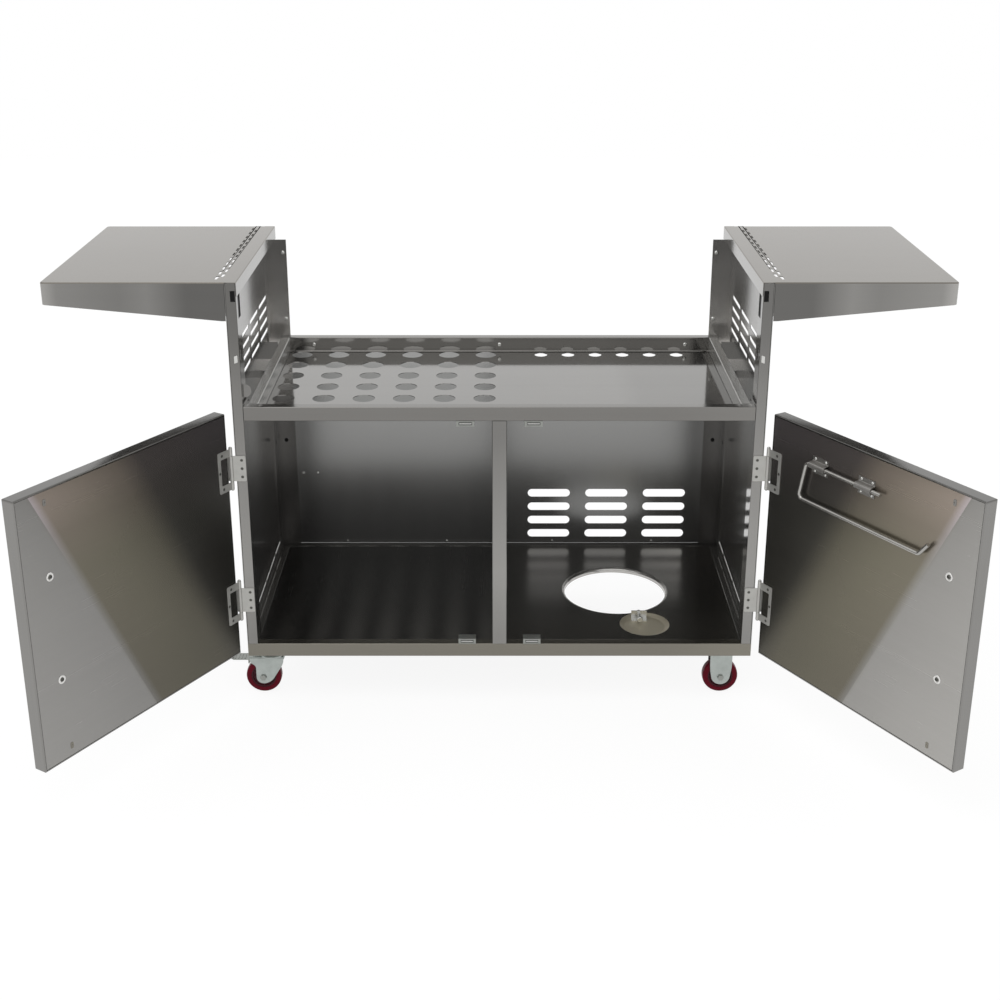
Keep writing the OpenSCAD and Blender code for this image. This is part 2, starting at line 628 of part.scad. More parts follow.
module rigid_forks() { color(zinc) on_right() for (y = wheel_ys) rigid_fork(y); }
module rigid_axles() { color(zinc) on_right() translate([0, 0, wheel_r]) for (y = wheel_ys) axle(y); }

base_front_rail();
base_rear_rail();
base_left_rail();
base_right_rail();
base_centre_rail();
floor_left();
floor_right();
tank_lock_bracket();
tank_lock_screw();
front_post_left();
front_post_right();
rear_post_left();
rear_post_right();
side_skin_left();
side_skin_right();
back_panel();
centre_stile();
deck_front_rail();
deck_rear_rail();
deck_left_rail();
deck_right_rail();
deck_plate();
deck_brackets();
magnet_catches();
frame_screws();
shelf_left();
shelf_right();
shelf_hangers();
post_guides();
left_door_pan();
left_door_liner();
left_handle();
left_handle_screws();
left_door_leaves();
right_door_pan();
right_door_liner();
right_handle();
right_handle_screws();
right_door_leaves();
post_leaves();
hinge_pins();
towel_clamps();
towel_bar();
swivel_plates();
front_swivel_fork();
rear_swivel_fork();
front_swivel_axle();
rear_swivel_axle();
front_brake_pedal();
rear_brake_pedal();
front_left_hub();
front_left_tyre();
rear_left_hub();
rear_left_tyre();
rigid_forks();
rigid_axles();
front_right_hub();
front_right_tyre();
rear_right_hub();
rear_right_tyre();
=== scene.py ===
import math

import bmesh
import bpy
from mathutils import Matrix, Vector


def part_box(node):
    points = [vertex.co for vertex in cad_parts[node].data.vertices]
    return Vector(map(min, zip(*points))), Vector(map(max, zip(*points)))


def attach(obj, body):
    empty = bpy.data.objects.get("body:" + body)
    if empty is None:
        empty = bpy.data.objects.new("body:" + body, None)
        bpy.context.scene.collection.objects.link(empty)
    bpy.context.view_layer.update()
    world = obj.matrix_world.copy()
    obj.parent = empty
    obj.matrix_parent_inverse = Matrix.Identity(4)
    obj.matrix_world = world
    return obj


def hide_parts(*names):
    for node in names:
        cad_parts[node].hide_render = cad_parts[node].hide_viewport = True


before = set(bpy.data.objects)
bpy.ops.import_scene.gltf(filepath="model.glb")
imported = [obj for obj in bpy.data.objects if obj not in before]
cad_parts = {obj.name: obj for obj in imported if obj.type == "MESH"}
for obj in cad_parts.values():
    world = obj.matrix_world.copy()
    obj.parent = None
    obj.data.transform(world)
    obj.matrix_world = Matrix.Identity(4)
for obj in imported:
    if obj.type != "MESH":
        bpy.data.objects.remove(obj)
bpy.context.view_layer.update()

# Studio. A pale floor, an even pale surround and two soft boxes; the surround and the floor show
# themselves to the camera and to the polished steel alike. The camera stands 0.7 m above the shelves,
# 2.8 m in front of the middle of the cart, and looks down on the deck.
QUARTER = math.radians(90)
CAMERA_AT = (0.0, -2.7606, 1.6066)
CAMERA_DOWN = math.radians(20.069)
camera = bpy.data.objects.new("camera", bpy.data.cameras.new("camera"))
camera.data.lens = 52.149
camera.data.sensor_width = 36.0
camera.data.shift_x = 0.0005
camera.data.shift_y = -0.0668
camera.location = CAMERA_AT
camera.rotation_euler = (QUARTER - CAMERA_DOWN, 0.0, 0.0)
link = bpy.context.collection.objects.link
link(camera)
bpy.context.scene.camera = camera
bpy.context.scene.view_settings.view_transform = "Standard"


class Value:
    """A socket of one node tree; arithmetic on it adds Math nodes."""

    def __init__(self, tree, socket):
        self.tree = tree
        self.socket = socket

    def math(self, operation, first, second):
        return self.tree.node("ShaderNodeMath", {"operation": operation}, {0: first, 1: second})

    def __add__(self, other):
        return self.math("ADD", self, other)

    def __radd__(self, other):
        return self.math("ADD", other, self)

    def __sub__(self, other):
        return self.math("SUBTRACT", self, other)

    def __rsub__(self, other):
        return self.math("SUBTRACT", other, self)

    def __mul__(self, other):
        return self.math("MULTIPLY", self, other)

    def __rmul__(self, other):
        return self.math("MULTIPLY", other, self)

    def __gt__(self, other):
        return self.math("GREATER_THAN", self, other)

    def __lt__(self, other):
        return self.math("LESS_THAN", self, other)


class Tree:
    """The nodes of a material or of the world."""

    def __init__(self, owner):
        owner.use_nodes = True
        self.nodes = owner.node_tree.nodes
        self.links = owner.node_tree.links

    def feed(self, socket, value):
        if isinstance(value, Value):
            self.links.new(value.socket, socket)
        else:
            socket.default_value = value

    def node(self, kind, settings, values, out=0):
        made = self.nodes.new(kind)
        stops = settings.get("stops")
        for key, setting in settings.items():
            if key != "stops":
                setattr(made, key, setting)
        if stops:
            ramp = made.color_ramp
            while len(ramp.elements) < len(stops):
                ramp.elements.new(1.0)
            for element, (place, shade) in zip(ramp.elements, stops):
                element.position = place
                element.color = (*shade, 1.0)
        for key, value in values.items():
            self.feed(made.inputs[key], value)
        return Value(self, made.outputs[out])

    def noise(self, place, scale, detail, **more):
        return self.node("ShaderNodeTexNoise", {},
                         {"Vector": place, "Scale": scale, "Detail": detail, **more})

    def bump(self, height, strength, distance, **under):
        return self.node("ShaderNodeBump", {},
                         {"Height": height, "Strength": strength, "Distance": distance, **under})

    def grey(self, tone):
        return self.node("ShaderNodeCombineColor", {}, {"Red": tone, "Green": tone, "Blue": tone})


def seen_directly(tree):
    """1 for rays that show a surface in the picture or in a mirror, 0 for rays that only light."""
    path = [tree.node("ShaderNodeLightPath", {}, {}, out) for out in
            ("Is Camera Ray", "Is Glossy Ray", "Is Transmission Ray")]
    return (path[0] + path[1] + path[2]) > 0.5


SURROUND_SEEN = 1.0
SURROUND_LIGHT = 0.75
world = bpy.data.worlds.new("studio")
bpy.context.scene.world = world
tree = Tree(world)
level = seen_directly(tree) * (SURROUND_SEEN - SURROUND_LIGHT) + SURROUND_LIGHT
tree.feed(tree.nodes["Background"].inputs["Strength"], level)
tree.nodes["Background"].inputs["Color"].default_value = (1.0, 1.0, 1.0, 1.0)

FLOOR_SIZE = 14.0
FLOOR_GLOW = 0.84
FLOOR_LIGHT = 1.07
shape = bmesh.new()
bmesh.ops.create_grid(shape, x_segments=1, y_segments=1, size=FLOOR_SIZE / 2)
mesh = bpy.data.meshes.new("studio_floor")
shape.to_mesh(mesh)
shape.free()
floor = bpy.data.objects.new("studio_floor", mesh)
link(floor)
pale = bpy.data.materials.new("studio_floor")
mesh.materials.append(pale)
tree = Tree(pale)
glow = tree.node("ShaderNodeEmission", {}, {"Color": (1.0, 1.0, 1.0, 1.0), "Strength": FLOOR_LIGHT})
matt = tree.node("ShaderNodeBsdfDiffuse", {}, {"Color": (0.9, 0.9, 0.9, 1.0)})
mixed = tree.node("ShaderNodeMixShader", {}, {0: seen_directly(tree) * FLOOR_GLOW, 1: matt, 2: glow})
tree.feed(tree.nodes["Material Output"].inputs["Surface"], mixed)


def soft_box(name, spot, aim, width, height, power):
    lamp = bpy.data.lights.new(name, "AREA")
    lamp.shape = "RECTANGLE"
    lamp.size = width
    lamp.size_y = height
    lamp.energy = power
    lit = bpy.data.objects.new(name, lamp)
    lit.location = spot
    lit.rotation_euler = (Vector(spot) - Vector(aim)).to_track_quat("Z", "Y").to_euler()
    link(lit)


soft_box("back_box", (0.0, 3.2, 1.9), (0.0, 0.0, 0.7), 4.4, 2.4, 2.0)
soft_box("top_box", (-0.8, -0.8, 3.2), (0.0, 0.0, 0.5), 2.4, 2.4, 20.0)

# Steel sheet. Bright stainless with a fine grain from rolling along the sheet, faint smears and a
# slight waviness, because thin sheet is never quite flat between its folds.
MM = 0.001
STEEL = (0.25, 0.245, 0.235)
GRAIN_STRETCH = 90.0
GRAIN_DEPTH = 0.06 * MM
ALONG_X = (True, False, False)
ALONG_Y = (False, True, False)
ALONG_Z = (False, False, True)


def times(tree, first, second):
    """The product of two colours."""
    return tree.node("ShaderNodeMix", {"data_type": "RGBA", "blend_type": "MULTIPLY"},
                     {"Factor": 1.0, 6: first, 7: second}, 2)


def blank(name):
    """A new material, its nodes and its place in the object."""
    material = bpy.data.materials.new(name)
    tree = Tree(material)
    return material, tree, tree.node("ShaderNodeTexCoord", {}, {}, "Object")


def dressed(material, tree, colour, tone, values):
    """Feeds a material's shader and returns the material."""
    shader = tree.nodes["Principled BSDF"]
    tree.feed(shader.inputs["Base Color"], times(tree, (*colour, 1.0), tone))
    for key, value in values.items():
        tree.feed(shader.inputs[key], value)
    return material


def steel(name, grain, colour=STEEL, rough=0.1, wave=0.35, haze=0.1, seat=None, shade=None,
          score=0.25):
    """grain is the way the rolling runs, wave how far the sheet bends in millimetres and haze the part
    of the light that the brushed skin scatters; seat turns the pattern with a swung part, shade gives
    painted light and shade, a tone that changes over the sheet, and score is how clear the grain is."""
    material, tree, place = blank(name)
    if seat:
        place = tree.node("ShaderNodeMapping", {}, {"Vector": place, **seat})
    across = [1.0 if along else GRAIN_STRETCH for along in grain]
    stretched = tree.node("ShaderNodeMapping", {}, {"Vector": place, "Scale": across})
    streak = tree.noise(stretched, 9.0, 1.5) * 0.5 + tree.noise(stretched, 0.5, 2.0) * 0.5
    smear = tree.noise(place, 3.2, 4.0, Roughness=0.62)
    tone = tree.grey(streak * 0.16 + smear * 0.12 + 0.86)
    if shade:
        tone = times(tree, tone, shade(tree, place))
    bent = tree.bump(tree.noise(place, 2.4, 1.0), 1.0, wave * MM)
    return dressed(material, tree, colour, tone, {
        "Metallic": 1.0 - haze, "Roughness": streak * 0.07 + smear * 0.06 + (rough - 0.065),
        "Normal": tree.bump(streak, score, GRAIN_DEPTH, Normal=bent)})


def part_of(tree, place, axis):
    return tree.node("ShaderNodeSeparateXYZ", {}, {"Vector": place}, axis)


def graded(tree, value, *stops):
    """A tone read off a scale; each stop is a place on it and a grey or a colour."""
    stops = [(spot, tone if isinstance(tone, tuple) else (tone, tone, tone)) for spot, tone in stops]
    return tree.node("ShaderNodeValToRGB", {"stops": stops}, {"Fac": value})


def by_place(**scales):
    """The painted light and shade of a part, whose tone changes along one or two axes; its stops are in
    metres.
    """

    def shade(tree, place):
        tones = [graded(tree, part_of(tree, place, axis), *stops) for axis, stops in scales.items()]
        return times(tree, *tones) if len(tones) > 1 else tones[0]

    return shade


# painted reflection: the long tubes are painted a little yellower at the foot and brighter at their
# right end
rail_steel = steel("rail_grain_across", ALONG_X, (0.2, 0.196, 0.186), shade=by_place(
    X=((0.35, 1.0), (0.5, 1.12)), Z=((0.13, (1.0, 0.96, 0.86)), (0.65, (0.98, 0.97, 0.97)))))
satin_steel = steel("deck_side_grain", ALONG_Y, (0.36, 0.355, 0.34), 0.24, haze=0.35)
# painted shade: the base's rear rail is painted a dark grey
painted_shade_rail_steel = steel("rear_rail_grain", ALONG_X, (0.1, 0.097, 0.09))
side_steel = steel("rail_grain_front_to_back", ALONG_Y, (0.19, 0.186, 0.176))
# painted light and shade: the stile is painted lighter and darker by height
stile_steel = steel("stile_grain", ALONG_Z, shade=by_place(
    Z=((0.15, 1.0), (0.3, 1.25), (0.45, 1.07), (0.6, 0.8))))

# Base and deck frame. Box tubes folded from 1.5 mm sheet with 2 mm bends, welded at the corners;
# the two long base tubes carry the rest and the deck's tubes sit inside the side walls.
HALF_WIDTH = 533.5
DEPTH = 520.0
RAIL_DEPTH = 22.0
BASE_LOW = 104.0
BASE_TOP = 133.8
DECK_TOP = 664.0
DECK_DROP = 34.0
TUBE_WALL = 1.5
TUBE_BEND = 2.0
ROUND_TO = math.radians(35)
X = Vector((1, 0, 0))
Y = Vector((0, 1, 0))
Z = Vector((0, 0, 1))
# pieces are drawn in millimetres from the middle of the cart, the post fronts and the ground
CART = Matrix.Translation(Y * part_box("base_front_rail")[0][1]) @ Matrix.Scale(MM, 4)
RIGHT = Matrix()
LEFT = Matrix.Diagonal((-1.0, 1.0, 1.0, 1.0))
SIDES = (("left", LEFT), ("right", RIGHT))


def cover(node, finish):
    """Gives a CAD solid that keeps its shape its finish."""
    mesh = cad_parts[node].data
    mesh.materials.clear()
    mesh.materials.append(finish)


def hand_over(shape, name, finishes, body, nodes=(), slot="brushed_steel"):
    """Makes a piece of a finished bmesh; edges blunter than ROUND_TO are shaded round."""
    shape.transform(CART)
    mesh = bpy.data.meshes.new(name)
    shape.to_mesh(mesh)
    shape.free()
    for finish in finishes:
        mesh.materials.append(finish)
    mesh.shade_smooth()
    mesh.set_sharp_from_angle(angle=ROUND_TO)
    piece = bpy.data.objects.new(name, mesh)
    link(piece)
    piece.modifiers.new("flat_faces_stay_flat", "WEIGHTED_NORMAL").keep_sharp = True
    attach(piece, body)
    if nodes:
        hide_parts(*nodes)


def put(whole, part, place=RIGHT, finish=None):
    """Adds a part at its place, in the first finish unless one is named; a mirrored part is turned
    outwards again."""
    part.transform(place)
    if place.determinant() < 0:
        bmesh.ops.reverse_faces(part, faces=part.faces)
    if finish is not None:
        for face in part.faces:
            face.material_index = finish
    mesh = bpy.data.meshes.new("part")
    part.to_mesh(mesh)
    part.free()
    whole.from_mesh(mesh)
    bpy.data.meshes.remove(mesh)


def hand_over_one(part, place, *rest):
    """Makes a piece of one part at its place."""
    whole = bmesh.new()
    put(whole, part, place)
    hand_over(whole, *rest)


def block(low, high):
    shape = bmesh.new()
    low = Vector(low)
    high = Vector(high)
    bmesh.ops.create_cube(shape, size=1.0, matrix=Matrix.Translation((low + high) / 2)
                          @ Matrix.Diagonal((*(high - low), 1.0)))
    return shape


def facing(shape, way):
    return [face for face in shape.faces if face.normal.dot(Vector(way)) > 0.99]


def edges_along(shape, way):
    return [edge for edge in shape.edges if abs(
        (edge.verts[1].co - edge.verts[0].co).normalized().dot(Vector(way))) > 0.999]


def blunt(shape, edges, radius, steps=3):
    bmesh.ops.bevel(shape, geom=edges, offset=radius, segments=steps, profile=0.5,
                    affect="EDGES", material=-1)


def creases(edges, least=1.0):
    """The edges at which two faces meet in more than the least angle."""
    return [edge for edge in edges if len(edge.link_faces) == 2 and edge.calc_face_angle() > least]


def corners_in(geometry):
    return [part for part in geometry if isinstance(part, bmesh.types.BMVert)]


def drop(shape, faces):
    bmesh.ops.delete(shape, geom=faces, context="FACES")


def thicken(shape, wall):
    """Gives an open skin its wall on the inside."""
    bmesh.ops.solidify(shape, geom=shape.faces[:], thickness=wall)


def tube(low, high, along):
    shape = block(low, high)
    drop(shape, facing(shape, along) + facing(shape, -along))
    blunt(shape, edges_along(shape, along), TUBE_BEND, 4)
    thicken(shape, TUBE_WALL)
    return shape


def room(node):
    """The corners of a CAD node, in the cart's millimetres."""
    return [CART.inverted() @ Vector(corner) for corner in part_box(node)]


for node, along, finish in (
        ("base_front_rail", X, rail_steel), ("base_rear_rail", X, painted_shade_rail_steel),
        ("base_left_rail", Y, side_steel), ("base_right_rail", Y, side_steel),
        ("base_centre_rail", Y, side_steel), ("centre_stile", Z, stile_steel),
        ("deck_rear_rail", X, rail_steel),
        ("deck_left_rail", Y, satin_steel), ("deck_right_rail", Y, satin_steel)):
    hand_over(tube(*room(node), along), node + "_tube", (finish,), "cart", (node,))

# the front rail of the deck is cut a little short of the posts, which leaves a fine dark joint
RAIL_JOINT = 0.8
low, high = room("deck_front_rail")
hand_over(tube(low + X * RAIL_JOINT, high - X * RAIL_JOINT, X), "deck_front_rail_tube",
          (rail_steel,), "cart", ("deck_front_rail",))

# Casters. Zinc plated pressings: a swivel pair under the left end, each with a ball race and a
# brake pedal, and a rigid pair under the right end. Red tread is moulded on to a dark core.
WHEEL_RADIUS = 38.1
WHEEL_ROWS = (43.0, 477.0)
SWIVEL_X = 490.0
SWIVEL_WHEEL_X = 509.5
RIGID_X = 477.0
FORK_WALL = 2.5
FORK_INSIDE = 14.0
PLATE_THICK = 2.5
PLATE_LONG = 39.0
PLATE_WIDE = 31.0
BOLT_SPOTS = ((-29, -21), (-29, 21), (29, -21), (29, 21))
BOLT_HEAD = 3.1
TO_Y = Matrix.Rotation(-QUARTER, 4, "X")
TO_FRONT = Matrix.Rotation(QUARTER, 4, "X")
TO_INSIDE = Matrix.Rotation(-QUARTER, 4, "Y")


def at(x, y, z):
    return Matrix.Translation((x, y, z))


def turned(section, steps=48):
    """Spins a closed section, drawn as radius and height, about the upright axis."""
    shape = bmesh.new()
    rim = [shape.verts.new((radius, 0.0, height)) for radius, height in section]
    face = shape.faces.new(rim)
    edges = shape.edges[:]
    bmesh.ops.delete(shape, geom=[face], context="FACES_ONLY")
    bmesh.ops.spin(shape, geom=edges, cent=(0, 0, 0), axis=Z, angle=math.tau, steps=steps,
                   use_merge=True, use_duplicate=False)
    bmesh.ops.remove_doubles(shape, verts=shape.verts[:], dist=0.001)
    bmesh.ops.delete(shape, geom=[edge for edge in shape.edges if not edge.link_faces],
                     context="EDGES")
    bmesh.ops.recalc_face_normals(shape, faces=shape.faces[:])
    return shape


def doubled(half):
    """A whole section from its lower half."""
    return (*half, *((radius, -height) for radius, height in half[::-1]))


def plate(outline, thick, radii=0.0, edge=0.3):
    """A plate cut to an outline in X and Z and drawn out along Y; radii round its corners."""
    shape = bmesh.new()
    corners = [shape.verts.new((x, 0.0, z)) for x, z in outline]
    shape.faces.new(corners)
    if isinstance(radii, float):
        radii = [radii] * len(corners)
    for radius in sorted(set(radii) - {0.0}):
        chosen = [corner for corner, own in zip(corners, radii) if own == radius]
        bmesh.ops.bevel(shape, geom=chosen, offset=radius, segments=8, profile=0.5,
                        affect="VERTICES", material=-1)
    drawn = bmesh.ops.extrude_face_region(shape, geom=shape.faces[:])["geom"]
    bmesh.ops.translate(shape, verts=corners_in(drawn), vec=Y * thick)
    bmesh.ops.recalc_face_normals(shape, faces=shape.faces[:])
    if edge:
        rims = {rim for face in facing(shape, Y) + facing(shape, -Y) for rim in face.edges}
        blunt(shape, list(rims), edge, 2)
    return shape


def oblong(x0, z0, x1, z1):
    return ((x0, z0), (x1, z0), (x1, z1), (x0, z1))


def folded(line, low, high, wall, bend, cuts=()):
    """Sheet folded to a line in X and Y and drawn up along Z; its wall lies left of the line."""
    shape = bmesh.new()
    foot = [shape.verts.new((x, y, low)) for x, y in line]
    edges = [shape.edges.new(pair) for pair in zip(foot, foot[1:])]
    drawn = bmesh.ops.extrude_edge_only(shape, edges=edges)["geom"]
    bmesh.ops.translate(shape, verts=corners_in(drawn), vec=Z * (high - low))
    shape.normal_update()
    start = Vector((*line[0], low))
    first = Vector((*line[1], low)) - start
    middle = start + (first + Z * (high - low)) / 2
    wing = min(shape.faces, key=lambda face: (face.calc_center_median() - middle).length)
    if wing.normal.dot(first.cross(Z)) < 0:
        bmesh.ops.reverse_faces(shape, faces=shape.faces)
    for cut in cuts:
        window(shape, *cut)
    if bend:
        blunt(shape, creases(edges_along(shape, Z), 0.1), bend, 4)
    thicken(shape, wall)
    return shape


def score(shape, low, high):
    """Scores the faces round a box along its sides, and returns the faces inside it."""
    low = Vector(low)
    high = Vector(high)

    def reaches(face):
        spots = [vert.co for vert in face.verts]
        return all(min(spot[k] for spot in spots) < high[k] and max(spot[k] for spot in spots) > low[k]
                   for k in range(3))

    for k in range(3):
        for corner in (low, high):
            faces = [face for face in shape.faces if reaches(face)]
            edges = {edge for face in faces for edge in face.edges}
            verts = {vert for face in faces for vert in face.verts}
            bmesh.ops.bisect_plane(shape, geom=[*faces, *edges, *verts], plane_co=corner,
                                   plane_no=[float(k == axis) for axis in range(3)])
    return [face for face in shape.faces
            if all(low[k] < face.calc_center_median()[k] < high[k] for k in range(3))]


def window(shape, low, high):
    drop(shape, score(shape, low, high))


def sink(shape, low, high, way):
    """Presses the part of a face inside a box down by a vector."""
    flush = score(shape, low, high)
    pressed = bmesh.ops.extrude_face_region(shape, geom=flush)["geom"]
    bmesh.ops.delete(shape, geom=flush, context="FACES_ONLY")
    bmesh.ops.translate(shape, verts=corners_in(pressed), vec=way)


def metal(name, colour, rough, mottle, haze=0.15):
    """Plated steel; mottle is how far its tone drifts from spot to spot."""
    material, tree, place = blank(name)
    cloud = tree.noise(place, 60.0, 4.0)
    grain = tree.noise(place, 900.0, 2.0)
    tone = tree.grey(cloud * (2.0 * mottle) + grain * 0.1 + (0.95 - mottle))
    return dressed(material, tree, colour, tone, {
        "Metallic": 1.0 - haze, "Roughness": cloud * 0.12 + (rough - 0.06),
        "Normal": tree.bump(grain, 0.2, 0.08 * MM)})


def moulded(name, colour, rough, gloss=0.3):
    """Moulded plastic: a fine skin, a little uneven in tone."""
    material, tree, place = blank(name)
    cloud = tree.noise(place, 40.0, 3.0)
    return dressed(material, tree, colour, tree.grey(cloud * 0.4 + 0.8), {
        "Roughness": cloud * 0.2 + (rough - 0.1), "Specular IOR Level": gloss,
        "Normal": tree.bump(tree.noise(place, 1500.0, 2.0), 0.3, 0.1 * MM)})


zinc = metal("zinc_plate", (0.40, 0.43, 0.41), 0.34, 0.22)
bolt_zinc = metal("bolt_zinc", (0.30, 0.31, 0.29), 0.3, 0.16)
tread_red = moulded("red_tread", (0.125, 0.001, 0.010), 0.34, 0.12)
core_brown = moulded("wheel_core", (0.05, 0.006, 0.010), 0.4, 0.2)

TREAD = doubled(((27, -11.5), (33.6, -11.5), (35.9, -10.9), (37.2, -9.4), (37.9, -6.6), (38.1, -3)))
CORE = doubled(((10, -13), (10.6, -8.6), (22.2, -8.6), (23.2, -10.2), (24, -10.8), (27, -10.8)))
BEARING = doubled(((4.1, -13.7), (9.2, -13.7), (9.9, -13)))
RIB = ((10.2, -0.9, -10.2), (23.0, 0.9, 10.2))
RIB_COUNT = 8


def make_wheel(name, body, x, y, side):
    place = side @ at(x, y, WHEEL_RADIUS) @ TO_Y
    hand_over_one(turned(TREAD, 72), place, name + "_tread", (tread_red,), body, (name + "_tyre",),
                  "red_tread")
    hub = bmesh.new()
    put(hub, turned(CORE, 56), place)
    put(hub, turned(BEARING, 40), place, 1)
    for rib in range(RIB_COUNT):
        put(hub, block(*RIB), place @ Matrix.Rotation(rib * math.tau / RIB_COUNT, 4, "Z"))
    hand_over(hub, name + "_core", (core_brown, bolt_zinc), body, (name + "_hub",), "wheel_core")


def axle_bolt():
    """A bolt through the fork: a hexagon head, the nut on the other side and the shank between."""
    whole = bmesh.new()
    outer = FORK_INSIDE + FORK_WALL
    put(whole, turned(((0, -outer), (4, -outer), (4, outer), (0, outer)), 24), TO_Y)
    for way in (-1, 1):
        nut = turned(((0, outer), (6.9, outer), (6.9, outer + 3.2), (6.1, outer + 4), (0, outer + 4)), 6)
        put(whole, nut, TO_Y @ Matrix.Scale(way, 4, Z))
    return whole


def bolt_heads(whole, side, x, y):
    """The four bolts that hold a caster's plate under the base frame."""
    for across, along in BOLT_SPOTS:
        head = turned(((0, 0), (5.4, 0), (5.4, 2.4), (4.6, BOLT_HEAD), (0, BOLT_HEAD)), 6)
        put(whole, head, side @ at(x + across, y + along, BASE_LOW - PLATE_THICK - BOLT_HEAD))


def cheeks(whole, outline, radii, place):
    """The two side walls of a fork."""
    for wall_y in (-FORK_INSIDE - FORK_WALL, FORK_INSIDE):
        put(whole, plate(outline, FORK_WALL, radii, 0.5), place @ at(0, wall_y, 0))


FORK_CHEEK = ((494.5, 23.1), (524.5, 23.1), (524.5, 66), (536.5, 73), (537.5, 86.4), (464, 86.4),
              (466, 70))
FORK_ROUND = (14.9, 14.9, 6.0, 5.0, 2.0, 2.0, 6.0)
RACE_LOWER = ((5.1, 87), (25.6, 87), (27, 88.2), (27, 91), (25.4, 93.2), (21, 94), (5.1, 94))
RACE_UPPER = ((5.1, 94.4), (20, 94.4), (23.2, 95.2), (24, 96.6), (24, 99.6), (22.4, 101.5), (5.1, 101.5))
KINGPIN = ((0, 84), (5, 84), (5, 101.5), (0, 101.5))
KING_NUT = ((0, 83), (8, 83), (8, 85.6), (7.2, 86.3), (0, 86.3))
CROWN = ((464, -16.5, 84), (537.5, 16.5, 87))
PEDAL_X = SWIVEL_WHEEL_X + 21
PEDAL_Z = 78.0
PEDAL_HALF = 13.0
PEDAL_LINE = ((PEDAL_X + 2, PEDAL_Z + 0.5), (PEDAL_X + 42, PEDAL_Z + 0.5), (PEDAL_X + 47.6, PEDAL_Z + 4))
PEDAL_PIVOT = doubled(((0, -15.8), (2.9, -15.8), (2.9, -13), (5, -13)))
RIDGE_COUNT = 4
RIDGE_STEP = 7.0

swivel_plates = bmesh.new()
for row, y in zip(("front", "rear"), WHEEL_ROWS):
    mount = plate(oblong(SWIVEL_X - PLATE_LONG, -PLATE_WIDE, SWIVEL_X + PLATE_LONG, PLATE_WIDE),
                  PLATE_THICK, 7.0)
    put(swivel_plates, mount, LEFT @ at(0, y, BASE_LOW) @ TO_Y)
    for section, steps in ((RACE_UPPER, 48), (KINGPIN, 24), (KING_NUT, 6)):
        put(swivel_plates, turned(section, steps), LEFT @ at(SWIVEL_X, y, 0))
    bolt_heads(swivel_plates, LEFT, SWIVEL_X, y)

    fork = bmesh.new()
    cheeks(fork, FORK_CHEEK, FORK_ROUND, LEFT @ at(0, y, 0))
    crown = block(*CROWN)
    blunt(crown, [edge for edge in edges_along(crown, X) if edge.verts[0].co.z > 86], 2.4, 4)
    put(fork, crown, LEFT @ at(0, y, 0))
    put(fork, turned(RACE_LOWER, 48), LEFT @ at(SWIVEL_X, y, 0))
    hand_over(fork, row + "_swivel_fork_pressing", (zinc,), row + "_swivel", (row + "_swivel_fork",),
              "zinc")
    hand_over_one(axle_bolt(), LEFT @ at(SWIVEL_WHEEL_X, y, WHEEL_RADIUS), row + "_swivel_bolt",
                  (bolt_zinc,), row + "_swivel", (row + "_swivel_axle",), "zinc")

    pedal = bmesh.new()
    put(pedal, turned(PEDAL_PIVOT, 24), LEFT @ at(PEDAL_X, y, PEDAL_Z) @ TO_Y)
    tread = folded(PEDAL_LINE, -PEDAL_HALF, PEDAL_HALF, 2.4, 1.5)
    put(pedal, tread, LEFT @ at(0, y, 0) @ TO_FRONT)
    for ridge in range(RIDGE_COUNT):
        near = PEDAL_X + 16 + ridge * RIDGE_STEP
        rib = block((near, y - 11, PEDAL_Z + 2.6), (near + 2.5, y + 11, PEDAL_Z + 3.7))
        blunt(rib, edges_along(rib, Y), 0.6, 2)
        put(pedal, rib, LEFT)
    shoe = block((PEDAL_X + 8, y - 10, PEDAL_Z - 10), (PEDAL_X + 11, y + 10, PEDAL_Z + 1))
    blunt(shoe, edges_along(shoe, Y), 1.0, 2)
    put(pedal, shoe, LEFT)
    hand_over(pedal, row + "_brake_lever", (bolt_zinc,), row + "_brake", (row + "_brake_pedal",), "zinc")
    make_wheel(row + "_left", row + "_left_wheel", SWIVEL_WHEEL_X, y, LEFT)
    make_wheel(row + "_right", row + "_right_wheel", RIGID_X, y, RIGHT)
hand_over(swivel_plates, "swivel_mounts", (zinc,), "cart", ("swivel_plates",), "zinc")

RIGID_CHEEK = ((-17, 21.1), (17, 21.1), (23.5, 62), (23.5, 103.4), (-23.5, 103.4), (-23.5, 58))
RIGID_ROUND = (16.5, 16.5, 8.0, 0.0, 0.0, 8.0)
rigid_forks = bmesh.new()
rigid_bolts = bmesh.new()
for y in WHEEL_ROWS:
    mount = block((RIGID_X - PLATE_LONG, y - PLATE_WIDE, BASE_LOW - PLATE_THICK),
                  (RIGID_X + PLATE_LONG, y + PLATE_WIDE, BASE_LOW))
    blunt(mount, edges_along(mount, Z), 6.0, 5)
    put(rigid_forks, mount)
    cheeks(rigid_forks, RIGID_CHEEK, RIGID_ROUND, at(RIGID_X, y, 0))
    bolt_heads(rigid_forks, RIGHT, RIGID_X, y)
    put(rigid_bolts, axle_bolt(), at(RIGID_X, y, WHEEL_RADIUS))
hand_over(rigid_forks, "rigid_caster_forks", (zinc,), "cart", ("rigid_forks",), "zinc")
hand_over(rigid_bolts, "rigid_caster_bolts", (bolt_zinc,), "cart", ("rigid_axles",), "zinc")

